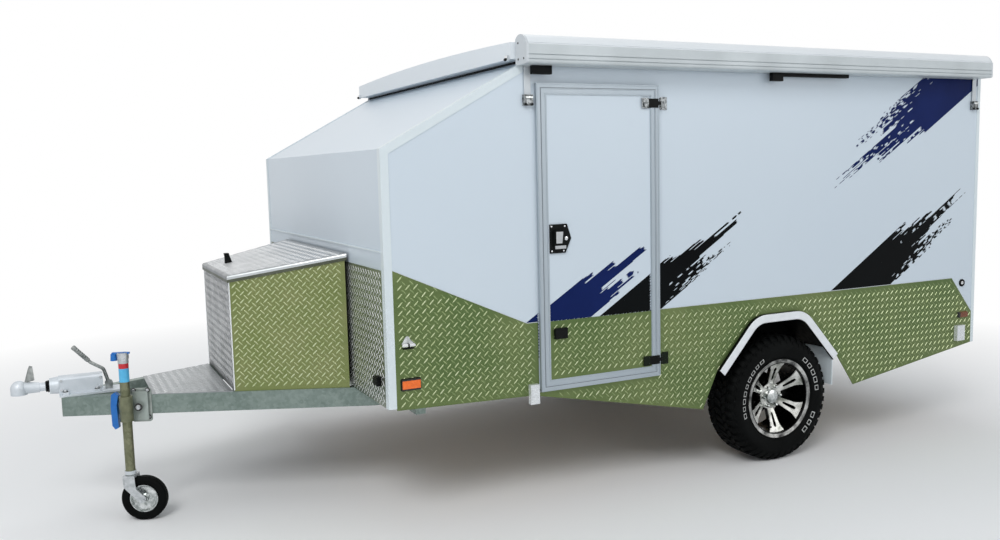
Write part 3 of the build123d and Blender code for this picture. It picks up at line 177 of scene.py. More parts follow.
white_panel = finish(
    "white_panel",
    (0.60, 0.68, 0.75),
    (0.585, 0.665, 0.74),
    (0.275, 0.295),
    patch=0.5,
    grain=0.8,
    bump=0,
    IOR=1.45,
)
white_roof = finish(
    "white_roof", (0.80, 0.85, 0.89), (0.78, 0.83, 0.87), (0.3, 0.38), patch=0.8, grain=90, bump=0.00006
)
white_coat = finish(
    "white_coat", (0.59, 0.63, 0.66), (0.57, 0.61, 0.64), (0.28, 0.36), patch=3, grain=500, bump=0.00008
)
white_edge = finish(
    "white_edge", (0.68, 0.755, 0.785), (0.655, 0.73, 0.765), (0.3, 0.4), patch=3, grain=400, bump=0.00006
)
frame_aluminium = finish(
    "frame_aluminium",
    (0.42, 0.475, 0.52),
    (0.36, 0.415, 0.46),
    (0.36, 0.46),
    metal=0.55,
    patch=2,
    grain=240,
    stretch=(1, 1, 0.03),
    bump=0.00003,
)
# Olive tint on the bare aluminium side plates is a painted reflection of grass
side_plate = finish(
    "side_plate",
    (0.095, 0.150, 0.045),
    (0.150, 0.195, 0.070),
    (0.3, 0.42),
    metal=0.5,
    patch=2.2,
    grain=60,
    bump=0.00015,
)
# Lit, half-shaded and shaded copies of one olive bar colour: painted light, and the olive is a painted
# reflection of grass
side_bars = finish(
    "side_bars", (0.46, 0.54, 0.28), (0.60, 0.66, 0.42), (0.2, 0.32), metal=0.7, patch=30, grain=300
)
side_bars_half_shaded = finish(
    "side_bars_half_shaded", (0.34, 0.39, 0.20), (0.48, 0.52, 0.30), (0.3, 0.42), metal=0.7, patch=30, grain=300
)
side_bars_shaded = finish(
    "side_bars_shaded", (0.16, 0.22, 0.09), (0.28, 0.34, 0.16), (0.3, 0.42), metal=0.7, patch=30, grain=300
)
# The tread plates are darkened, with dark and pale patches, as painted reflections of the surroundings
front_plate = finish(
    "front_plate", (0.22, 0.24, 0.25), (0.34, 0.36, 0.37), (0.3, 0.42), metal=0.8, patch=3, grain=60
)
end_plate = finish(
    "end_plate", (0.17, 0.20, 0.15), (0.27, 0.305, 0.24), (0.3, 0.42), metal=0.8, patch=3, grain=60
)
# Lit and shaded copies of one bright bar colour: painted highlight and painted shade on the tread bars
front_bars = finish(
    "front_bars", (0.86, 0.88, 0.89), (0.95, 0.96, 0.97), (0.18, 0.3), metal=0.6, patch=30, grain=300
)
front_bars_shaded = finish(
    "front_bars_shaded", (0.42, 0.44, 0.45), (0.55, 0.57, 0.58), (0.25, 0.35), metal=0.85, patch=30, grain=300
)
zinc = galvanised("zinc", (0.175, 0.225, 0.205), (0.245, 0.30, 0.275))
zinc_bright = galvanised("zinc_bright", (0.42, 0.45, 0.46), (0.62, 0.64, 0.66))
zinc_olive = galvanised("zinc_olive", (0.15, 0.16, 0.095), (0.23, 0.235, 0.15))
cast_grey = finish(
    "cast_grey",
    (0.56, 0.61, 0.65),
    (0.66, 0.70, 0.74),
    (0.42, 0.6),
    metal=0.35,
    patch=12,
    grain=260,
    bump=0.0004,
)
cast_pale = finish(
    "cast_pale",
    (0.26, 0.31, 0.285),
    (0.50, 0.54, 0.51),
    (0.4, 0.58),
    metal=0.4,
    patch=18,
    grain=220,
    bump=0.0004,
)
chrome = finish("chrome", (0.72, 0.74, 0.76), (0.82, 0.83, 0.84), (0.08, 0.16), metal=1.0, patch=8, grain=90)
# Chrome painted with near black and grey patches as painted reflections
chrome_painted_reflection = finish(
    "chrome_painted_reflection", (0.008, 0.011, 0.012), (0.36, 0.38, 0.39), (0.10, 0.22), metal=1.0, patch=66, grain=120
)
zinc_pressed = finish(
    "zinc_pressed", (0.30, 0.33, 0.32), (0.80, 0.82, 0.82), (0.18, 0.32), metal=1.0, patch=38, grain=120
)
lever_steel = finish(
    "lever_steel", (0.14, 0.155, 0.15), (0.42, 0.44, 0.43), (0.35, 0.5), metal=0.75, patch=26, grain=240
)
black_plastic = finish(
    "black_plastic",
    (0.003, 0.0035, 0.0035),
    (0.006, 0.007, 0.007),
    (0.38, 0.52),
    patch=20,
    grain=900,
    bump=0.0001,
    Specular_IOR_Level=0.1,
)
black_steel = finish(
    "black_steel", (0.02, 0.021, 0.022), (0.045, 0.042, 0.038), (0.5, 0.68), patch=7, grain=200, bump=0.0002
)
rubber = finish(
    "rubber",
    (0.0016, 0.002, 0.002),
    (0.0034, 0.004, 0.004),
    (0.6, 0.78),
    patch=9,
    grain=500,
    Specular_IOR_Level=0.07,
)
seal = finish(
    "seal",
    (0.008, 0.008, 0.010),
    (0.02, 0.02, 0.024),
    (0.6, 0.75),
    patch=6,
    grain=300,
    Specular_IOR_Level=0.15,
)
blue_plastic = finish(
    "blue_plastic", (0.004, 0.125, 0.44), (0.008, 0.15, 0.50), (0.3, 0.42), patch=20, grain=500, bump=0.0001
)
red_band = finish("red_band", (0.60, 0.02, 0.03), (0.52, 0.02, 0.03), (0.3, 0.4), patch=20, grain=300)
light_blue = finish("light_blue", (0.10, 0.48, 0.78), (0.08, 0.42, 0.72), (0.3, 0.4), patch=20, grain=300)
plywood = finish(
    "plywood", (0.36, 0.26, 0.16), (0.46, 0.34, 0.22), (0.55, 0.7), patch=3, grain=60, stretch=(0.15, 1, 1)
)
ink_blue = finish(
    "ink_blue",
    (0.003, 0.010, 0.065),
    (0.007, 0.018, 0.105),
    (0.3, 0.4),
    patch=1.5,
    grain=90,
    Specular_IOR_Level=0.06,
)
ink_black = finish(
    "ink_black",
    (0.001, 0.0015, 0.002),
    (0.002, 0.003, 0.0035),
    (0.3, 0.4),
    patch=1.5,
    grain=90,
    Specular_IOR_Level=0.06,
)
# A flat dark strip painted as the shade in a groove
groove_painted_shade = finish("groove_painted_shade", (0.16, 0.18, 0.20), (0.20, 0.22, 0.24), (0.4, 0.5), patch=6, grain=300)
letter_grey = finish("letter_grey", (0.55, 0.56, 0.55), (0.45, 0.46, 0.45), (0.6, 0.75), patch=12, grain=300)


# Mesh helpers
def spokes(axis, sides, across=None):
    """A unit axis, and unit directions around it."""
    axis = Vector(axis).normalized()
    across = Vector(across or axis.orthogonal()).normalized()
    other = axis.cross(across)
    return axis, [across * cos(a) + other * sin(a) for a in (2 * pi * k / sides for k in range(sides))]


def tube_faces(rows, sides):
    """Faces of a tube of closed rows of points, capped at both ends."""
    faces = [tuple(range(sides))[::-1], tuple((rows - 1) * sides + k for k in range(sides))]
    for row in range(rows - 1):
        for k in range(sides):
            a, b = row * sides + k, row * sides + (k + 1) % sides
            faces.append((a, b, b + sides, a + sides))
    return faces


class Piece:
    """Collects faces of one piece, measured from the trailer's centre line."""

    def __init__(self, name, body, slot, *materials):
        self.name = name
        self.body = body
        self.slot = slot
        self.materials = materials
        self.points = []
        self.faces = []
        self.picks = []

    def mesh(self, points, faces, pick=0):
        start = len(self.points)
        self.points += [tuple(p) for p in points]
        self.faces += [tuple(start + i for i in face) for face in faces]
        self.picks += [pick] * len(faces)

    def box(self, low, high, pick=0, chamfer=0.0):
        """An upright box with its edges cut back."""
        c = chamfer
        corners = []
        for z, inset in ((low[2], c), (low[2] + c, 0), (high[2] - c, 0), (high[2], c)):
            x0, y0, x1, y1 = low[0] + inset, low[1] + inset, high[0] - inset, high[1] - inset
            corners += [(x0, y0, z), (x1, y0, z), (x1, y1, z), (x0, y1, z)]
        if not c:
            corners = corners[4:12]
        self.mesh(corners, tube_faces(len(corners) // 4, 4), pick)

    def turned(self, centre, axis, profile, sides=24, pick=0):
        """A turned shape: profile is (radius, distance along the axis), closed at both ends."""
        axis, around = spokes(axis, sides)
        middle = Vector(centre)
        points = [middle + axis * along + out * radius for radius, along in profile for out in around]
        self.mesh(points, tube_faces(len(profile), sides), pick)

    def ring(self, centre, axis, section, sides=48, pick=0, across=None):
        """A closed ring: section is a loop of (radius, distance along the axis)."""
        axis, around = spokes(axis, sides, across)
        middle = Vector(centre)
        points = [middle + axis * along + out * radius for out in around for radius, along in section]
        count = len(section)
        faces = []
        for k in range(sides):
            for i in range(count):
                a, b = k * count, ((k + 1) % sides) * count
                faces.append((a + i, a + (i + 1) % count, b + (i + 1) % count, b + i))
        self.mesh(points, faces, pick)

    def slab(self, outline, axis, start, end, pick=0):
        """An outline of two coordinates, drawn out along axis 0, 1 or 2 from start to end."""
        points = []
        for at in (start, end):
            for a, b in outline:
                point = [a, b]
                point.insert(axis, at)
                points.append(tuple(point))
        n = len(outline)
        faces = [tuple(range(n)), tuple(range(2 * n - 1, n - 1, -1))]
        faces += [(i, i + n, (i + 1) % n + n, (i + 1) % n) for i in range(n)]
        self.mesh(points, faces, pick)

    def sweep(self, path, radius, sides=10, pick=0):
        """A round bar along a path, with capped ends."""
        path = [Vector(p) for p in path]
        points = []
        side = None
        for i, here in enumerate(path):
            ahead = path[min(i + 1, len(path) - 1)] - path[max(i - 1, 0)]
            ahead.normalize()
            side = ahead.orthogonal() if side is None else side - ahead * side.dot(ahead)
            side.normalize()
            other = ahead.cross(side)
            for k in range(sides):
                a = 2 * pi * k / sides
                points.append(here + (side * cos(a) + other * sin(a)) * radius)
        self.mesh(points, tube_faces(len(path), sides), pick)

    def done(self, smooth=0.6, replaces=()):
        """Makes the object, with its faces turned outward, and lets it ride on its body."""
        data = bpy.data.meshes.new(self.name)
        data.from_pydata([(x, y + MIDDLE, z) for x, y, z in self.points], [], self.faces)
        for mat in self.materials:
            data.materials.append(mat)
        data.polygons.foreach_set("material_index", self.picks)
        turn_outward(data)
        if smooth:
            data.shade_smooth()
            data.set_sharp_from_angle(angle=smooth)
        made = bpy.data.objects.new(self.name, data)
        scene.collection.objects.link(made)
        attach(made, self.body)
        if replaces:
            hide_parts(*replaces)
        return made


def turn_outward(data):
    work = bmesh.new()
    work.from_mesh(data)
    bmesh.ops.recalc_face_normals(work, faces=work.faces)
    work.to_mesh(data)
    work.free()


def dress(name, mat):
    """Gives a CAD node its material."""
    slots = cad[name].data.materials
    slots.clear()
    slots.append(mat)


# Tests on place, for finishes that change along a node
def math(mat, operation, first, second=0.0, third=0.0):
    return node(mat, "Math", {"operation": operation}, i0=first, i1=second, i2=third).outputs[0]


def less(mat, first, second):
    return math(mat, "LESS_THAN", first, second)


def more(mat, first, second):
    return math(mat, "GREATER_THAN", first, second)


def gap(mat, first, second):
    """Distance between two values."""
    return math(mat, "ABSOLUTE", math(mat, "SUBTRACT", first, second))


def both(mat, first, second):
    return math(mat, "MULTIPLY", first, second)


def radius_of(mat, first, second, centre):
    """Distance from an axis, by two coordinates and the axis's place in them."""
    a = math(mat, "SUBTRACT", first, centre[0])
    b = math(mat, "SUBTRACT", second, centre[1])
    square = math(mat, "ADD", math(mat, "MULTIPLY", a, a), math(mat, "MULTIPLY", b, b))
    return math(mat, "SQRT", square)


def place_of(mat):
    """Object coordinates as three sockets, measured from the centre line across."""
    split = node(mat, "SeparateXYZ", Vector=node(mat, "TexCoord").outputs["Object"])
    x, y, z = split.outputs
    return x, math(mat, "SUBTRACT", y, MIDDLE), z


def zoned(name, zones, rest, metal=0.0, rough=0.35, patch=30, **sockets):
    """One finish whose colour changes where a test on place holds: zones are (test, colour, other)."""
    mat, base, _ = shader(name, Metallic=metal, **sockets)
    grain = spread(mat, noise(mat, stretched(mat, (1, 1, 1)), patch), 0.35, 0.65)
    now = blended(mat, grain, rest, [c * 0.86 for c in rest])
    for test, colour, other in zones:
        now = blended(mat, test(mat), now, blended(mat, grain, colour, other))
    link(mat, now, base.inputs["Base Color"])
    link(mat, spread(mat, grain, 0.3, 0.7, rough, rough + 0.12), base.inputs["Roughness"])
    return mat


def above(axis, value):
    """A test that holds where a coordinate, taken across as a distance, passes a value."""

    def test(mat):
        coordinate = place_of(mat)[axis]
        if axis == 1:
            coordinate = math(mat, "ABSOLUTE", coordinate)
        return more(mat, coordinate, value)

    return test


def wheel_place(mat):
    """Radius from the axle, and depth inward from the wheel's outer face."""
    x, y, z = place_of(mat)
    depth = math(mat, "SUBTRACT", WHEEL_OUT, math(mat, "ABSOLUTE", y))
    return radius_of(mat, x, z, (AXLE, WHEEL_HEIGHT)), depth


def wheel_front(mat):
    """Holds on the machined front of the spokes and the hub."""
    radius, depth = wheel_place(mat)
    slack = 0.006
    cone = math(mat, "MULTIPLY_ADD", radius, -DISH_SLOPE, HUB_DEPTH + HUB_RADIUS * DISH_SLOPE + slack)
    return both(mat, less(mat, depth, cone), less(mat, radius, RIM_INSIDE))


def wheel_lip(mat):
    """Holds on the polished edge of the rim's lip, which takes painted reflections."""
    radius, depth = wheel_place(mat)
    return both(mat, more(mat, radius, RIM_LIP), less(mat, depth, LIP_DEPTH))


def facing_side(mat):
    """Holds on faces that look to the left or right."""
    normal = node(mat, "NewGeometry").outputs["Normal"]
    across = node(mat, "SeparateXYZ", Vector=normal).outputs[1]
    return more(mat, math(mat, "ABSOLUTE", across), 0.5)


def marker_base(mat):
    """Holds on the black base around the front marker's lens and at the rear marker's front end."""
    x, _, z = place_of(mat)
    lens_middle, lens_half, rear_end = (-1.1315, 0.747), (0.0455, 0.0195), 2.692
    tall = more(mat, gap(mat, z, lens_middle[1]), lens_half[1])
    wide = more(mat, gap(mat, x, lens_middle[0]), lens_half[0])
    front = both(mat, math(mat, "MAXIMUM", tall, wide), less(mat, x, 0.0))
    rear = both(mat, more(mat, x, 0.0), less(mat, x, rear_end))
    return math(mat, "MAXIMUM", front, rear)


def lid_flange(mat):
    """Holds on the lowest part of the lid's turned-down flange, where painted shade goes."""
    x, _, z = place_of(mat)
    top = math(mat, "MULTIPLY_ADD", x, LID_RISE, LID_FRONT_TOP - BOX_FRONT * LID_RISE)
    return more(mat, math(mat, "SUBTRACT", top, z), 0.021)


guard_finish = zoned(
    "guard_finish",
    [(above(1, GUARD_LIP), (0.80, 0.83, 0.86), (0.74, 0.77, 0.80))],
    (0.0015, 0.002, 0.002),
    Specular_IOR_Level=0.12,
)
# Above the seam the upper roll is painted lighter: a painted highlight where light falls on its top
awning_white_and_highlight = zoned(
    "awning_white_and_highlight",
    [(above(2, AWNING_SEAM), (0.75, 0.79, 0.82), (0.73, 0.77, 0.80))],
    (0.57, 0.62, 0.64),
    rough=0.28,
    patch=3,
)
# Painted reflections: the upper hinge parts in dark and bright patches, the lower ones near black green
hinge_painted_reflection = zoned(
    "hinge_painted_reflection",
    [(above(2, 1.5), (0.008, 0.011, 0.012), (0.34, 0.36, 0.37))],
    (0.013, 0.018, 0.012),
    metal=0.9,
    rough=0.16,
    patch=66,
)
# Black paint with bright machined faces; the dark greenish patches on the machined faces and the dark and
# bright patches on the lip's edge are painted reflections
wheel_paint_and_reflection = zoned(
    "wheel_paint_and_reflection",
    [
        (wheel_front, (0.20, 0.21, 0.185), (0.80, 0.80, 0.77)),
        (wheel_lip, (0.05, 0.05, 0.05), (0.62, 0.62, 0.60)),
    ],
    (0.006, 0.006, 0.0065),
    metal=0.85,
    rough=0.16,
    patch=13,
)
# Toolbox plates: olive on the sides is a painted reflection of grass, near black elsewhere is a painted dark
# reflection
box_painted_reflection = zoned(
    "box_painted_reflection",
    [(facing_side, (0.185, 0.225, 0.075), (0.215, 0.240, 0.095))],
    (0.028, 0.030, 0.030),
    metal=0.55,
    rough=0.3,
    patch=6,
)
# Lid: the pale sides are a painted highlight on the flange, and its dark olive foot is painted shade tinted
# by grass
lid_painted_light = zoned(
    "lid_painted_light",
    [
        (facing_side, (0.62, 0.65, 0.66), (0.52, 0.55, 0.56)),
        (lid_flange, (0.07, 0.08, 0.055), (0.11, 0.12, 0.09)),
    ],
    (0.30, 0.315, 0.325),
    metal=0.8,
    rough=0.3,
    patch=5,
)
# Above 1 m the fittings are painted in dark and bright patches as painted reflections
fitting_colour_and_reflection = zoned(
    "fitting_colour_and_reflection",
    [(above(2, 1.0), (0.010, 0.014, 0.015), (0.36, 0.38, 0.39))],
    (0.76, 0.79, 0.81),
    metal=0.35,
    rough=0.2,
    patch=62,
)
lamp_finish = zoned(
    "lamp_finish",
    [
        (above(0, 0.0), (0.20, 0.055, 0.018), (0.13, 0.035, 0.012)),
        (marker_base, (0.006, 0.006, 0.006), (0.010, 0.010, 0.010)),
        (above(0, 2.78), (0.55, 0.015, 0.012), (0.44, 0.012, 0.010)),
    ],
    (0.92, 0.17, 0.018),
    rough=0.14,
    patch=70,
)

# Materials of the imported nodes
finishes = {
    zinc: ["drawbar_rails", "chassis_rails", "cross_members"],
    cast_grey: ["coupling_housing", "coupling_head"],
    cast_pale: ["jockey_mount"],
    lever_steel: ["coupling_levers"],
    front_plate: ["tread_tray"],
    end_plate: ["end_plates"],
    lid_painted_light: ["toolbox_lid"],
    box_painted_reflection: ["toolbox_body"],
    side_plate: ["skirt_left", "skirt_right", "door_plate"],
    white_panel: ["front_wall", "nose_panel", "rear_wall", "side_wall_left", "side_wall_right", "door_leaf"],
    white_roof: ["roof_cap"],
    awning_white_and_highlight: ["awning_cassette"],
    white_coat: ["awning_caps", "roof_straps"],
    white_edge: ["corner_trims", "mud_flaps"],
    guard_finish: ["mudguards"],
    frame_aluminium: ["door_frame"],
    hinge_painted_reflection: ["door_hinge_leaves"],
    zinc_pressed: ["castor_rim"],
    fitting_colour_and_reflection: ["wall_fittings"],
    black_plastic: ["door_fittings", "lid_handle", "awning_fittings"],
    lamp_finish: ["lamps"],
    black_steel: ["axle_beam", "leaf_springs", "spring_fittings"],
    rubber: ["tyre_left", "tyre_right", "castor_tyre"],
    wheel_paint_and_reflection: ["wheel_left", "wheel_right"],
    seal: ["roof_seal"],
    plywood: ["floor_panel"],
    zinc_olive: ["jockey_tube", "jockey_leg"],
    zinc_bright: ["jockey_fork"],
    blue_plastic: ["jockey_handles"],
}
for mat, names in finishes.items():
    for name in names:
        dress(name, mat)


# Tread plate: low bars laid as a weave, each row leaning the other way and shifted by half a step
BAR_PITCH = 0.020
BAR_LENGTH = 0.037
BAR_WIDTH = 0.0066
BAR_HEIGHT = 0.0012
# Half lengths of a bar's widest part and of its ridge, and how deep it sits in the plate
BAR_SHOULDER, BAR_RIDGE, BAR_SINK = 0.009, 0.012, 0.0001
ASIDE = Vector((0, MIDDLE, 0))
trees = {}


def tree(name):
    """Search tree of a node's faces, made once."""
    if name not in trees:
        data = cad[name].data
        points = [v.co.copy() for v in data.vertices]
        trees[name] = BVHTree.FromPolygons(points, [tuple(p.vertices) for p in data.polygons])
    return trees[name]


def seat(name, point, normal, slack=0.02):
    """Where a node's face lies under a point, if the face looks the same way."""
    hit, face, _, _ = tree(name).ray_cast(point + normal * slack, -normal, 2 * slack)
    return hit if hit is not None and face.dot(normal) > 0.99 else None


def lay_bars(piece, name, origin, along, normal, reach, rise, picks=(0, 1)):
    """Bars on one flat face: origin is its corner, along and normal are its directions."""
    along = Vector(along).normalized()
    normal = Vector(normal).normalized()
    over = normal.cross(along)
    for i in range(int(reach / BAR_PITCH) + 1):
        for j in range(i % 2, int(rise / BAR_PITCH) + 1, 2):
            centre = Vector(origin) + along * (i + 0.5) * BAR_PITCH + over * (j + 0.5) * BAR_PITCH
            way = (along + over if j % 2 else along - over).normalized()
            side = normal.cross(way) * BAR_WIDTH / 2
            ends = [seat(name, centre + ASIDE + way * end * BAR_LENGTH / 2, normal) for end in (-1, 1)]
            if None in ends or abs((ends[1] - ends[0]).dot(normal)) > 0.0002:
                continue
            first, last = (end - ASIDE - normal * BAR_SINK for end in ends)
            centre = (first + last) / 2
            ahead, rise_by = way * BAR_SHOULDER, normal * (BAR_HEIGHT + BAR_SINK)
            low = [first, centre - ahead - side, centre + ahead - side]
            low += [last, centre + ahead + side, centre - ahead + side]
            ridge = [centre - way * BAR_RIDGE + rise_by, centre + way * BAR_RIDGE + rise_by]
            faces = [(0, 1, 6), (1, 2, 7, 6), (2, 3, 7), (3, 4, 7), (4, 5, 6, 7), (5, 0, 6)]
            # Rows leaning one way take picks[0], the others picks[1]; where these are shaded and lit copies
            # of one colour, that is painted light
            piece.mesh(low + ridge, [*faces, (5, 4, 3, 2, 1, 0)], picks[j % 2])


# The drawbar's rails and the toolbox's sides taper toward the front
TAPER = radians(23.4)
side_out = Vector((-sin(TAPER), -cos(TAPER), 0))
side_back = Vector((cos(TAPER), -sin(TAPER), 0))


def drawbar_y(x):
    """Half the width of the drawbar, over its rails, at a place along it."""
    return 0.061 + (x + 2.6245) * sin(TAPER) / cos(TAPER)


# Side bars alternate shaded and lit olive copies: painted light and a painted reflection of grass
skirt_bars = Piece("skirt_bars", "trailer", "tread_plate", side_bars_shaded, side_bars)
lay_bars(skirt_bars, "skirt_left", (FRONT, -SKIN, 0.38), BEHIND, LEFT, 4.1, 0.95)
lay_bars(skirt_bars, "skirt_right", (REAR, SKIN, 0.38), AHEAD, RIGHT, 4.1, 0.95)
skirt_bars.done(smooth=0)

door_bars = Piece("door_bars", "door", "tread_plate", side_bars_shaded, side_bars)
lay_bars(door_bars, "door_plate", (LEAF[0], -LEAF_OUT - PLATE, LEAF[2]), BEHIND, LEFT, 0.62, 0.4)
door_bars.done(smooth=0)

end_bars = Piece("end_bars", "trailer", "tread_plate", front_bars)
lay_bars(end_bars, "end_plates", (FRONT - PLATE, HALF_WIDTH, 0.5), LEFT, AHEAD, 2.4, 0.85, (0, 0))
lay_bars(end_bars, "end_plates", (REAR + PLATE, -HALF_WIDTH, 0.5), RIGHT, BEHIND, 2.4, 0.6, (0, 0))
end_bars.done(smooth=0)

box_bars = Piece("box_bars", "trailer", "tread_plate", side_bars_half_shaded, side_bars, front_bars_shaded, front_bars)
BOX_SIDE, BOX_HIGH = 0.64, 0.72
start = (BOX_FRONT, -drawbar_y(BOX_FRONT), BOX_BOTTOM)
lay_bars(box_bars, "toolbox_body", start, side_back, side_out, BOX_SIDE, BOX_HIGH)
start = (BOX_REAR, drawbar_y(BOX_REAR), BOX_BOTTOM)
mirror_along, mirror_out = (-side_back.x, side_back.y, 0), (side_out.x, -side_out.y, 0)
lay_bars(box_bars, "toolbox_body", start, mirror_along, mirror_out, BOX_SIDE, BOX_HIGH)
start = (BOX_FRONT, drawbar_y(BOX_FRONT), BOX_BOTTOM)
lay_bars(box_bars, "toolbox_body", start, LEFT, AHEAD, 0.9, 0.62, (3, 3))
lay_bars(box_bars, "tread_tray", (-2.2005, -0.5, BOX_BOTTOM + 0.001), BEHIND, TOP, 0.4, 1.0, (2, 3))
box_bars.done(smooth=0)

# Painted highlights: bright strips along the skirts' top edges and down the toolbox's front corners
SKIRT_TOP = [(-1.2045, 1.2930), (-0.5025, 0.979), (2.6115, 0.979), (2.8065, 0.746)]
EDGE_HEIGHT, EDGE_OUT, DOOR_GAP = 0.0022, 0.0007, 0.006
skirt_edge_highlights = Piece("skirt_edge_highlights", "trailer", "tread_plate", white_coat)
for side in (-1, 1):
    out = Vector((0, side * EDGE_OUT, 0))
    for start, end in zip(SKIRT_TOP, SKIRT_TOP[1:]):
        way = Vector((end[0] - start[0], 0, end[1] - start[1]))
        over = Vector((-way.z, 0, way.x)).normalized() * EDGE_HEIGHT
        spans = [(0.0, 1.0)]
        if side < 0 and start[0] < DOOR[0] < end[0]:
            low = (DOOR[0] - DOOR_GAP - start[0]) / way.x
            high = (DOOR[1] + DOOR_GAP - start[0]) / way.x
            spans = [(0.0, low), (high, 1.0)]
        for span in spans:
            points = []
            for spot in (Vector((start[0], side * SKIN, start[1])) + way * share for share in span):
                points += [spot - over * 0.2 + out, spot + over + out]
                points += [spot + over - out * 4, spot - over * 0.2 - out * 0.2]
            faces = [(0, 1, 2, 3), (7, 6, 5, 4)]
            faces += [(i, i + 4, (i + 1) % 4 + 4, (i + 1) % 4) for i in range(4)]
            skirt_edge_highlights.mesh(points, faces)
skirt_edge_highlights.done(smooth=0)

box_corner_highlights = Piece("box_corner_highlights", "trailer", "tread_plate", front_bars)
front_face = seat("toolbox_body", Vector((BOX_FRONT, 0, 0.9)) + ASIDE, Vector(AHEAD), 0.06)
side_face = seat("toolbox_body", Vector((-1.55, -drawbar_y(-1.55), 0.9)) + ASIDE, side_out, 0.06)
corner_y = side_face.y - MIDDLE + (front_face.x - side_face.x) * side_back.y / side_back.x
for y in (corner_y, -corner_y):
    box_corner_highlights.sweep([(front_face.x + 0.002, y * 0.996, z) for z in (0.640, 0.92, 1.205)], 0.0042, sides=8)
box_corner_highlights.done()

LID_SLOPE = atan2(LID_RISE, 1)
lid_back = Vector((cos(LID_SLOPE), 0, sin(LID_SLOPE)))
lid_up = Vector((-sin(LID_SLOPE), 0, cos(LID_SLOPE)))
lid_bars = Piece("lid_bars", "toolbox_lid", "tread_plate", front_bars)
lay_bars(lid_bars, "toolbox_lid", (BOX_FRONT, -0.7, LID_FRONT_TOP), lid_back, lid_up, 0.6, 1.4, (0, 0))
lid_bars.done(smooth=0)


# Dry brush strokes on the side wall and door leaf, cut off by what covers the wall
STROKE_ANGLE = radians(32)
ROW, STEP, TIP = 0.0036, 0.008, 0.010
# Fingers of a stroke: (share across from the lower edge, reach in metres, how broken)
FINGERS = [
    (0.0, 0.62, 0.9),
    (0.16, 0.86, 0.8),
    (0.34, 0.66, 0.5),
    (0.52, 1.04, 0.25),
    (0.74, 0.72, 0.2),
    (0.9, 0.5, 0.3),
]
# Strokes: (root along, root height, turned over, width, length scale, seed, colour)
STROKES = [
    (-0.316, 0.985, False, 0.200, 0.60, 3, 0),
    (0.125, 0.985, False, 0.215, 0.86, 11, 1),
    (2.62, 2.27, True, 0.300, 1.20, 23, 0),
    (1.82, 0.985, False, 0.270, 1.02, 31, 1),
]
covers = ["skirt_left", "door_frame", "door_leaf", "door_plate", "side_wall_left"]


def first_cover(x, z):
    """The node that shows at a place on the left side."""
    best, found = 9, None
    for name in covers:
        hit = tree(name).ray_cast(Vector((x, -2, z)), Vector((0, 1, 0)), 1.2)
        if hit[0] is not None and hit[3] < best:
            best, found = hit[3], name
    return found


def stroke_rows(width, scale, dice):
    """Inked runs of each row, from the root to the ragged tips."""
    rows = []
    count = int(width / ROW)
    runs = []
    for row in range(count):
        share = row / (count - 1)
        _, reach, broken = min(FINGERS, key=lambda f: abs(f[0] - share))
        if not runs or dice.random() < 0.55:
            end = reach * scale * (1 - 0.3 * dice.random() ** 2)
            at, runs = -0.5, []
            while at < end:
                solid = max(0.0, 1 - max(at, 0.0) / end)
                run = (0.05 + 0.5 * solid * solid) * dice.uniform(0.5, 1.4) * (1.4 - broken)
                if at < 0:
                    run += 0.5 + reach * scale * 0.45 * (1 - 0.6 * broken) * dice.random()
                runs.append((at, min(at + run, end)))
                at += run + dice.uniform(0.006, 0.03) * (0.4 + broken)
        runs = [(a, b + dice.uniform(-0.008, 0.008)) for a, b in runs]
        rows.append(runs)
    return rows


strokes = {
    "side_wall_left": Piece("wall_strokes", "trailer", "white_panel", ink_blue, ink_black),
    "door_leaf": Piece("door_strokes", "door", "white_panel", ink_blue, ink_black),
}
depths = {"side_wall_left": -HALF_WIDTH - 0.0004, "door_leaf": -LEAF_OUT - 0.0004}
for root_x, root_z, over, width, scale, seed, colour in STROKES:
    root = Vector((root_x, root_z))
    way = Vector((cos(STROKE_ANGLE), sin(STROKE_ANGLE))) * (-1 if over else 1)
    side = Vector((-way.y, way.x))
    for row, runs in enumerate(stroke_rows(width, scale, Random(seed))):
        across = row * ROW - width / 2
        for start, end in runs:
            # Parts of the run that lie on the wall or on the leaf
            at, spans, previous = start, {}, None
            while at < end:
                spot = root + way * (at + STEP / 2) + side * (across + ROW / 2)
                cover = first_cover(*spot) if spot.x < REAR else None
                if cover in strokes:
                    if cover == previous:
                        spans[cover][-1][1] = min(at + STEP, end)
                    else:
                        spans.setdefault(cover, []).append([at, min(at + STEP, end)])
                previous = cover
                at += STEP
            for cover, parts in spans.items():
                for a, b in parts:
                    tip = min(TIP, (b - a) * 0.4)
                    outline = [(a, 0.5), (a + tip, 0), (b - tip, 0), (b, 0.5), (b - tip, 1), (a + tip, 1)]
                    if a > start:
                        outline[0:2] = [(a, 0)]
                        outline[-1] = (a, 1)
                    points = []
                    for s, t in outline:
                        spot = root + way * s + side * (across + t * ROW)
                        points.append((spot.x, depths[cover], spot.y))
                    strokes[cover].mesh(points, [tuple(range(len(points)))], colour)
for piece in strokes.values():
    piece.done(smooth=0)


# Tyres: carcass with ribs and bead line, tread blocks in five rows, plain marks on the wall
TREAD_DEPTH = 0.010
# Heights of the tread's top at the shoulder and in the middle
SHOULDER_RADIUS, CROWN_RADIUS = 0.348, 0.372
# Section of the carcass: (radius, distance inward from the outer face)
WALL = [
    (0.216, 0.0235),
    (0.236, 0.0235),
    (0.240, 0.0205),
    (0.246, 0.0175),
    (0.250, 0.0105),
    (0.256, 0.0085),
    (0.262, 0.0075),
    (0.290, 0.0015),
    (0.312, 0.0015),
    (0.316, 0.0030),
    (0.330, 0.0075),
    (0.342, 0.0165),
    (0.354, 0.0280),
    (0.3600, 0.0440),
    (0.3620, 0.0900),
]


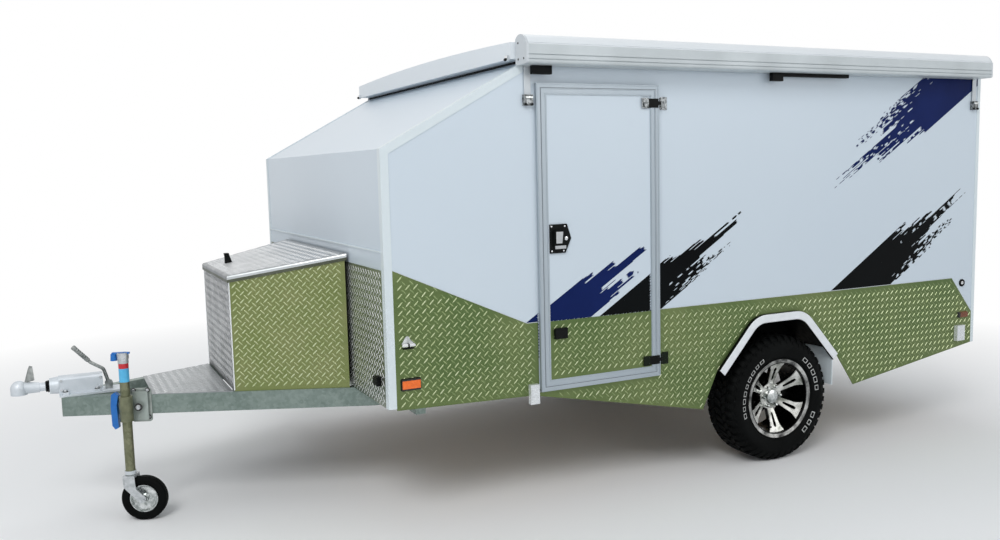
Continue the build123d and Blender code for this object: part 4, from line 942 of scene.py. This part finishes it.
def crown(y):
    """Radius of the tread's top at a distance inward from the outer face."""
    inward = min(y, TYRE_WIDTH - y)
    if inward < 0.016:
        return SHOULDER_RADIUS
    if inward < 0.028:
        return SHOULDER_RADIUS + (inward - 0.016) * 1.5
    return min(0.366 + (inward - 0.028) * 0.375, CROWN_RADIUS)


def on_wheel(radius, angle, y):
    """A place by its radius and angle from the top of a wheel."""
    return AXLE + radius * sin(angle), y, WHEEL_HEIGHT + radius * cos(angle)


def tread_block(piece, side, angle, width, cuts, skew):
    """A block between two angles; cuts are its places across the tread."""
    top, low = [], []
    for end in (-1, 1):
        for k, y in enumerate(cuts):
            lean = skew * (k / (len(cuts) - 1) - 0.5)
            for radius, inset, store in ((crown(y), 0.0014, top), (crown(y) - TREAD_DEPTH - 0.002, 0, low)):
                a = angle + end * (width / 2 - inset / radius) + lean
                store.append(on_wheel(radius, a, side * (WHEEL_OUT - y)))
    n = len(cuts)
    faces = []
    for k in range(n - 1):
        faces.append((k, k + 1, n + k + 1, n + k))
        faces.append((k, 2 * n + k, 2 * n + k + 1, k + 1))
        faces.append((n + k + 1, 3 * n + k + 1, 3 * n + k, n + k))
    faces.append((0, n, 3 * n, 2 * n))
    faces.append((n - 1, 3 * n - 1, 4 * n - 1, 2 * n - 1))
    faces.append((*range(2 * n, 3 * n), *range(4 * n - 1, 3 * n - 1, -1)))
    piece.mesh(top + low, faces)


BLOCKS = 44
PITCH = 2 * pi / BLOCKS
# Rows of blocks: (places across, share of the pitch, shift along, skew)
ROWS = [
    ((0.012, 0.018, 0.026, 0.040, 0.058), 0.60, 0.0, 0.03),
    ((0.064, 0.080, 0.096), 0.72, 0.45, -0.05),
    ((0.103, 0.1275, 0.152), 0.66, 0.1, 0.06),
    ((0.159, 0.175, 0.191), 0.72, 0.65, -0.05),
    ((0.197, 0.215, 0.229, 0.237, 0.243), 0.60, 0.5, 0.03),
]
# Outlined marks: (middle angle in degrees from the top, how many, step in degrees), and their edges
MARKS = ((62, 5, 10.5), (128, 3, 10.5), (-68, 9, 9.0))
MARK_LOW, MARK_HIGH, MARK_LINE = 0.267, 0.289, 0.0025
BRICK = [(0, 1, 2, 3), (7, 6, 5, 4), (0, 4, 5, 1), (1, 5, 6, 2), (2, 6, 7, 3), (3, 7, 4, 0)]
for name, side in (("left", -1), ("right", 1)):
    tyre = Piece("tyre_tread_" + name, "wheel_" + name, "tyre_rubber", rubber, letter_grey)
    half = [(r, side * (WHEEL_OUT - y)) for r, y in WALL]
    other = [(r, side * (WHEEL_OUT - TYRE_WIDTH + y)) for r, y in reversed(WALL)]
    tyre.ring((AXLE, 0, WHEEL_HEIGHT), RIGHT, half + other, sides=120, across=BEHIND)
    for k in range(BLOCKS):
        for cuts, share, shift, skew in ROWS:
            tread_block(tyre, side, (k + shift) * PITCH, share * PITCH, cuts, skew)
        # Rib on the shoulder
        rib = []
        for depth in (-0.0018, 0.0022):
            for radius, half_angle in ((0.322, 0.010), (0.340, 0.022)):
                y = side * (WHEEL_OUT - (0.0030 + (radius - 0.316) * 0.26 + depth))
                rib += [on_wheel(radius, k * PITCH + end * half_angle, y) for end in (-1, 1)]
        tyre.mesh(rib, [(0, 1, 3, 2), (4, 6, 7, 5), (0, 2, 6, 4), (1, 5, 7, 3), (0, 4, 5, 1), (2, 3, 7, 6)])
    for middle, count, step in MARKS:
        for k in range(count):
            a = radians(middle + (k - (count - 1) / 2) * step)
            wide = radians(step * (0.30 if k % 3 == 1 else 0.36))
            for r0, r1, a0, a1 in (
                (MARK_LOW, MARK_LOW + MARK_LINE, -wide, wide),
                (MARK_HIGH - MARK_LINE, MARK_HIGH, -wide * 0.8, wide * 0.8),
                (MARK_LOW, MARK_HIGH, -wide, -wide * 0.72),
                (MARK_LOW, MARK_HIGH, wide * 0.72, wide),
            ):
                mark = []
                for r, b in ((r0, a0), (r0, a1), (r1, a1), (r1, a0)):
                    depth = 0.0075 - (r - 0.262) * 0.214 - 0.0012
                    mark.append(on_wheel(r, a + b, side * (WHEEL_OUT - depth)))
                mark += [(x, y - side * 0.0016, z) for x, y, z in mark]
                tyre.mesh(mark, BRICK, 1)
    tyre.done(smooth=0.5, replaces=["tyre_" + name])

# Spoke webs: each pair of ribs joins at its foot and at the hub; rows of (radius, inner, outer edge)
FOOT = [
    (0.162, 0.0100, 0.0322),
    (0.170, 0.0095, 0.0350),
    (0.177, 0.0065, 0.0380),
    (0.180, 0.0, 0.0395),
    (0.192, 0.0, 0.0450),
    (RIM_INSIDE, 0.0, 0.0550),
]
ROOT = [(0.074, 0.0, 0.0196), (0.096, 0.0, 0.0228), (0.101, 0.0045, 0.0236), (0.104, 0.0066, 0.0240)]
for name, side in (("left", -1), ("right", 1)):
    webs = Piece("wheel_webs_" + name, "wheel_" + name, "alloy", wheel_paint_and_reflection)
    for k in range(12):
        for rows in (FOOT, ROOT):
            spots = []
            for radius, *edges in rows:
                face = WHEEL_OUT - HUB_DEPTH + DISH_SLOPE * (radius - HUB_RADIUS)
                for depth in (-0.0006, 0.012):
                    for edge in edges:
                        a = radians(60 * (k // 2)) + (1 if k % 2 else -1) * edge / radius
                        spots.append(on_wheel(radius, a, side * (face - depth)))
            faces = [(0, 1, 3, 2), tuple(len(spots) - 4 + i for i in (0, 2, 3, 1))]
            for row in range(0, len(spots) - 4, 4):
                for a, b in ((0, 1), (1, 3), (3, 2), (2, 0)):
                    faces.append((row + a, row + b, row + 4 + b, row + 4 + a))
            webs.mesh(spots, faces)
    webs.done(smooth=0.3)

# Wheel nuts, cap and valve
NUT = [(0.0105, 0), (0.0105, 0.010), (0.0088, 0.019), (0.005, 0.024), (0.001, 0.0252)]
CAP = [(0.0455, 0.0), (0.0455, 0.012), (0.041, 0.021), (0.028, 0.0275), (0.012, 0.0295), (0.001, 0.0297)]
VALVE = [(0.004, 0), (0.004, 0.02), (0.0052, 0.021), (0.0052, 0.034), (0.001, 0.035)]
for name, side in (("left", -1), ("right", 1)):
    nuts = Piece("wheel_nuts_" + name, "wheel_" + name, "alloy", zinc_pressed, black_plastic)
    face = side * (WHEEL_OUT - HUB_DEPTH)
    for k in range(6):
        nuts.turned(on_wheel(0.0615, radians(60 * k + 30), face), (0, side, 0), NUT, sides=12)
    nuts.turned((AXLE, face, WHEEL_HEIGHT), (0, side, 0), CAP, sides=36)
    a = radians(200)
    stem = on_wheel(0.186, a, side * (WHEEL_OUT - 0.052))
    nuts.turned(stem, (sin(a) * -0.35, side, cos(a) * -0.35), VALVE, sides=10, pick=1)
    nuts.done()


# Small fittings
def screw(piece, centre, axis, radius=0.004, pick=0):
    """A low domed head."""
    height = 0.0018
    rows = [(radius, -0.0004), (radius, height * 0.4), (radius * 0.75, height * 0.85), (radius * 0.3, height)]
    piece.turned(centre, axis, rows, sides=10, pick=pick)


def frame_bead(inset, width, high, pick=0, chamfer=0.0004):
    """A raised line around the door frame's face, at an inset from its outer edge."""
    x0, x1, z0, z1 = DOOR[0] + inset, DOOR[1] - inset, DOOR[2] + inset, DOOR[3] - inset
    out, back = -FRAME_OUT - high, -FRAME_OUT + 0.0003
    for low, top in ((z0, z0 + width), (z1 - width, z1)):
        beads.box((x0, out, low), (x1, back, top), pick, chamfer)
    for front, rear in ((x0, x0 + width), (x1 - width, x1)):
        beads.box((front, out, z0 + width), (rear, back, z1 - width), pick, chamfer)


# Door: beads and a dark strip of painted groove shade on the frame, lock and pull of the paddle latch, hinge
# pads
beads = Piece("door_beads", "door", "aluminium_frame", frame_aluminium, groove_painted_shade)
frame_bead(0.004, 0.0035, 0.0016)
frame_bead(0.0255, 0.0035, 0.0026)
frame_bead(0.049, 0.004, 0.0022)
# A flat dark strip: painted shade where a groove would be
frame_bead(0.0215, 0.0032, 0.0003, pick=1, chamfer=0.0)
beads.done()

latch = Piece("door_latch_parts", "door", "bright_steel", chrome)
x, y, z = -0.3115, -LEAF_OUT - 0.008, 1.397
latch.box((x - 0.043, y - 0.019, z - 0.050), (x + 0.020, y, z - 0.034))
paddle = [(x - 0.038, z - 0.022), (x - 0.004, z - 0.022), (x + 0.002, z + 0.036), (x - 0.038, z + 0.036)]
latch.slab(paddle, 1, y - 0.0225, y - 0.016)
lock = [(0.010, 0), (0.010, 0.004), (0.007, 0.0055), (0.002, 0.0058)]
latch.turned((x + 0.030, y, z), LEFT, lock, sides=20)
for along, up in ((-0.052, 0.062), (-0.052, -0.062), (0.016, -0.062), (0.024, 0.062)):
    screw(latch, (x + along, y, z + up), LEFT, 0.0045)
latch.done()

pads = Piece("hinge_pads", "door", "bright_steel", hinge_painted_reflection)
x, y = DOOR[1], -FRAME_OUT - 0.0065
for z in (2.076, 0.710):
    pads.box((x - 0.112, y, z - 0.0265), (x - 0.070, y + 0.003, z + 0.0265), chamfer=0.001)
    for along in (0.102, 0.080):
        for up in (-0.016, 0.016):
            screw(pads, (x - along, y, z + up), LEFT, 0.0045)
pads.done()

# Wall: slam latch, round socket, strap latches and the plug on the front plate
fittings = Piece("wall_parts", "trailer", "bright_steel", chrome, black_plastic, zinc_pressed, chrome_painted_reflection)
hood = [(-1.176, 0.944), (-1.112, 0.944), (-1.130, 0.962), (-1.140, 0.980), (-1.152, 0.980), (-1.164, 0.962)]
fittings.slab(hood, 1, -SKIN - 0.012, -SKIN, pick=2)
fittings.box((-1.174, -SKIN - 0.019, 0.928), (-1.108, -SKIN, 0.944), chamfer=0.004)
# Black strip under the slam latch: a painted shadow
fittings.box((-1.168, -SKIN - 0.012, 0.918), (-1.114, -SKIN, 0.928), chamfer=0.002, pick=1)
fittings.box((-1.144, -SKIN - 0.022, 0.926), (-1.138, -SKIN - 0.018, 0.946), pick=1)
socket = (2.710, -HALF_WIDTH, 0.942)
section = [(0.024, 0), (0.024, 0.006), (0.020, 0.010), (0.015, 0.010), (0.012, 0.0)]
fittings.ring(socket, LEFT, section, sides=32, pick=1)
plug = [(0.013, 0), (0.013, 0.005), (0.010, 0.008), (0.002, 0.009)]
fittings.turned(socket, LEFT, plug, sides=24)
# Parts of a strap latch: (front and rear from its middle, bottom, top, thickness, chamfer, material)
STRAP_LATCH = [
    (-0.013, 0.013, 2.062, 2.098, 0.004, 0.001, 3),
    (-0.020, 0.020, 2.092, 2.104, 0.010, 0.002, 2),
    (-0.022, -0.014, 2.058, 2.070, 0.010, 0.002, 1),
    (0.014, 0.022, 2.058, 2.070, 0.010, 0.002, 1),
]
for side in (-1, 1):
    face = side * (HALF_WIDTH + 0.018)
    for x in STRAPS:
        for front, rear, low, high, thick, chamfer, pick in STRAP_LATCH:
            near, far = sorted((face, face + side * thick))
            fittings.box((x + front, near, low), (x + rear, far, high), pick, chamfer)
fittings.box((FRONT - 0.027, -1.100, 0.730), (FRONT - PLATE, -1.045, 0.776), chamfer=0.004, pick=1)
fittings.done()

# Roof edge clips and the awning's end screws
clips = Piece("roof_clips", "roof", "bright_steel", chrome, black_plastic)
button = [(0.008, 0), (0.008, 0.006), (0.004, 0.010), (0.001, 0.0105)]
for y in (-1.172, 1.172):
    clips.box((ROOF_FRONT - 0.014, y - 0.014, 2.272), (ROOF_FRONT - 0.002, y + 0.014, 2.302), chamfer=0.003)
    clips.turned((ROOF_FRONT - 0.014, y, 2.280), AHEAD, button, sides=14, pick=1)
for x, way in ((-0.5375, AHEAD), (2.7785, BEHIND)):
    for y, z in ((-1.235, 2.275), (-1.292, 2.275), (-1.235, 2.352)):
        screw(clips, (x, y, z), way, 0.0055, pick=1)
clips.done()

# Jockey stand: bolts of its mount, printed bands and the white collar
STAND_X = -2.3015
CLAMP_RADIUS = 0.0345
WASHER = [(0.0125, 0), (0.0125, 0.002)]
stand_face = Vector((STAND_X, -drawbar_y(STAND_X), 0))


def jockey(u, out, z):
    """A place by its distance along the rail, out from its face, and height."""
    return stand_face + side_back * u + side_out * out + Vector((0, 0, z))


tube_axis = jockey(0, 0.074, 0)


def clamp_ring(mat):
    """Holds on the part of the clamp that wraps the tube."""
    x, y, _ = place_of(mat)
    return less(mat, radius_of(mat, x, y, tube_axis.xy), CLAMP_RADIUS)


clamp_finish = zoned(
    "clamp_finish",
    [(clamp_ring, (0.13, 0.14, 0.085), (0.20, 0.21, 0.13))],
    (0.36, 0.41, 0.385),
    metal=0.5,
    rough=0.4,
    patch=24,
)
dress("jockey_clamp", clamp_finish)

bands = Piece("jockey_bands", "jockey_stand", "galvanised", red_band, light_blue, zinc_bright)
for low, high, radius, pick in (
    (0.794, 0.820, 0.0246, 0),
    (0.724, 0.794, 0.0246, 1),
    (0.820, 0.842, 0.0262, 2),
    (0.842, 0.874, 0.0285, 2),
):
    section = [(0.0238, low), (radius, low), (radius, high), (0.0238, high)]
    bands.ring(tube_axis, TOP, section, sides=36, pick=pick)
bands.done()

# The black washers under the mount's bolts are painted shade, standing for the dark holes and shade around
# them
mount_parts = Piece("jockey_mount_parts", "trailer", "galvanised", zinc_bright, black_steel)
for u in (0.018, 0.090):
    for z in (0.520, 0.662):
        centre = jockey(u, 0.008, z)
        mount_parts.turned(centre, side_out, WASHER, sides=20, pick=1)
        head = [(0.0085, 0.002), (0.0085, 0.008), (0.0068, 0.0095)]
        mount_parts.turned(centre, side_out, head, sides=6)
pin = jockey(0.054, 0.052, 0.584)
mount_parts.turned(pin, side_out, [(0.0205, 0), (0.0205, 0.002)], sides=24, pick=1)
mount_parts.turned(pin, side_out, [(0.0135, 0.002), (0.0135, 0.011), (0.0115, 0.0135)], sides=6)
mount_parts.turned(pin, side_out, [(0.006, 0.0135), (0.006, 0.018), (0.004, 0.0195)], sides=12)
mount_parts.done()

collar = Piece("jockey_collar", "jockey_leg", "galvanised", white_coat)
section = [(0.0265, 0.241), (0.0285, 0.242), (0.0285, 0.2605), (0.0265, 0.2615)]
collar.ring(tube_axis, TOP, section, sides=36)
collar.done()

# Coupling: foot bolts, shaft boot, side bolts, thick grip on the handbrake lever
HOUSING = (-2.6325, -2.4215)
coupling = Piece("coupling_parts", "trailer", "cast_zinc", zinc_bright, black_plastic, lever_steel)
for x in (HOUSING[0] + 0.030, HOUSING[1] - 0.030):
    for y in (-0.0475, 0.0475):
        coupling.turned((x, y, 0.659), TOP, WASHER, sides=20, pick=1)
        coupling.turned((x, y, 0.661), TOP, [(0.0095, 0), (0.0095, 0.0075), (0.0075, 0.009)], sides=6)
boot = [(0.0225, 0), (0.030, 0), (0.032, 0.006), (0.027, 0.009)]
boot += [(0.030, 0.013), (0.0255, 0.018), (0.0225, 0.018)]
coupling.ring((HOUSING[0] - 0.0435, 0, 0.690), AHEAD, boot, sides=32, pick=1)
head = [(0.0075, -0.0004), (0.0075, 0.004), (0.006, 0.0055)]
for x in (HOUSING[0] + 0.012, HOUSING[1] - 0.012):
    for z in (0.668, 0.717):
        for side in (-1, 1):
            coupling.turned((x, side * 0.040, z), (0, side, 0), head, sides=6)
grip_low, grip_high = Vector((HOUSING[1] - 0.062, 0, 0.8033)), Vector((HOUSING[1] - 0.131, 0, 0.8812))
along = (grip_high - grip_low).normalized()
reach = (grip_high - grip_low).length
GRIP, GROOVE, GROOVES = 0.0125, 0.0116, 7
grip = [(0.0095, 0), (GRIP, 0.002)]
for k in range(GROOVES):
    at = 0.006 + k * (reach - 0.018) / GROOVES
    grip += [(GRIP, at), (GROOVE, at + 0.002), (GROOVE, at + 0.004), (GRIP, at + 0.006)]
grip += [(0.0132, reach - 0.006), (GRIP, reach + 0.001), (0.009, reach + 0.004)]
coupling.turned(grip_low, along, grip, sides=20, pick=2)
coupling.done()

# Studio: pale floor that keeps the shadow and runs out to white, and soft light
floor_data = bpy.data.meshes.new("floor")
floor_data.from_pydata([(-30, -30, 0), (30, -30, 0), (30, 30, 0), (-30, 30, 0)], [], [(0, 1, 2, 3)])
floor = bpy.data.objects.new("floor", floor_data)
scene.collection.objects.link(floor)
floor_mat, floor_base, floor_out = shader("floor", Base_Color=(0.95, 0.955, 0.96, 1), Roughness=0.9)
floor_place = node(floor_mat, "TexCoord").outputs["Object"]
distance = node(floor_mat, "VectorMath", {"operation": "LENGTH"}, i0=floor_place).outputs["Value"]
fade = spread(floor_mat, distance, 3.0, 6.5)
white = node(floor_mat, "Emission", Color=(1, 1, 1, 1), Strength=1.0).outputs[0]
seen = node(floor_mat, "LightPath").outputs["Is Camera Ray"]
amount = both(floor_mat, fade, seen)
mixed = node(floor_mat, "MixShader", i0=amount, i1=floor_base.outputs[0], i2=white).outputs[0]
link(floor_mat, mixed, floor_out.inputs["Surface"])
floor_data.materials.append(floor_mat)

world = bpy.data.worlds.new("world")
scene.world = world
world.use_nodes = True
world.node_tree.nodes.clear()
sky = node(world, "Background", Color=(0.94, 0.97, 1.0, 1), Strength=0.50)
backdrop = node(world, "Background", Color=(1, 1, 1, 1), Strength=1.0)
rays = node(world, "LightPath").outputs
clear = math(world, "MAXIMUM", rays["Is Camera Ray"], rays["Is Glossy Ray"])
clear = math(world, "MAXIMUM", clear, rays["Is Transmission Ray"])
mixed = node(world, "MixShader", i0=clear, i1=sky.outputs[0], i2=backdrop.outputs[0])
node(world, "OutputWorld", Surface=mixed.outputs[0])

# Lamps: (name, place, aim, size, power)
LAMPS = [
    ("key", (-5.7, -7.2, 8.0), (0.2, 0, 1.0), 4.2, 455),
    ("fill", (5.5, -8.5, 4.5), (1.2, 0, 1.0), 5.0, 105),
    ("top", (0.5, 3.5, 8.0), (0.3, 0, 0.6), 6.0, 115),
]
for name, place, aim, size, power in LAMPS:
    light = bpy.data.lights.new(name, "AREA")
    light.size = size
    light.energy = power
    lamp = bpy.data.objects.new(name, light)
    scene.collection.objects.link(lamp)
    lamp.location = place
    lamp.rotation_euler = (Vector(aim) - Vector(place)).to_track_quat("-Z", "Y").to_euler()
scene.view_settings.view_transform = "Standard"
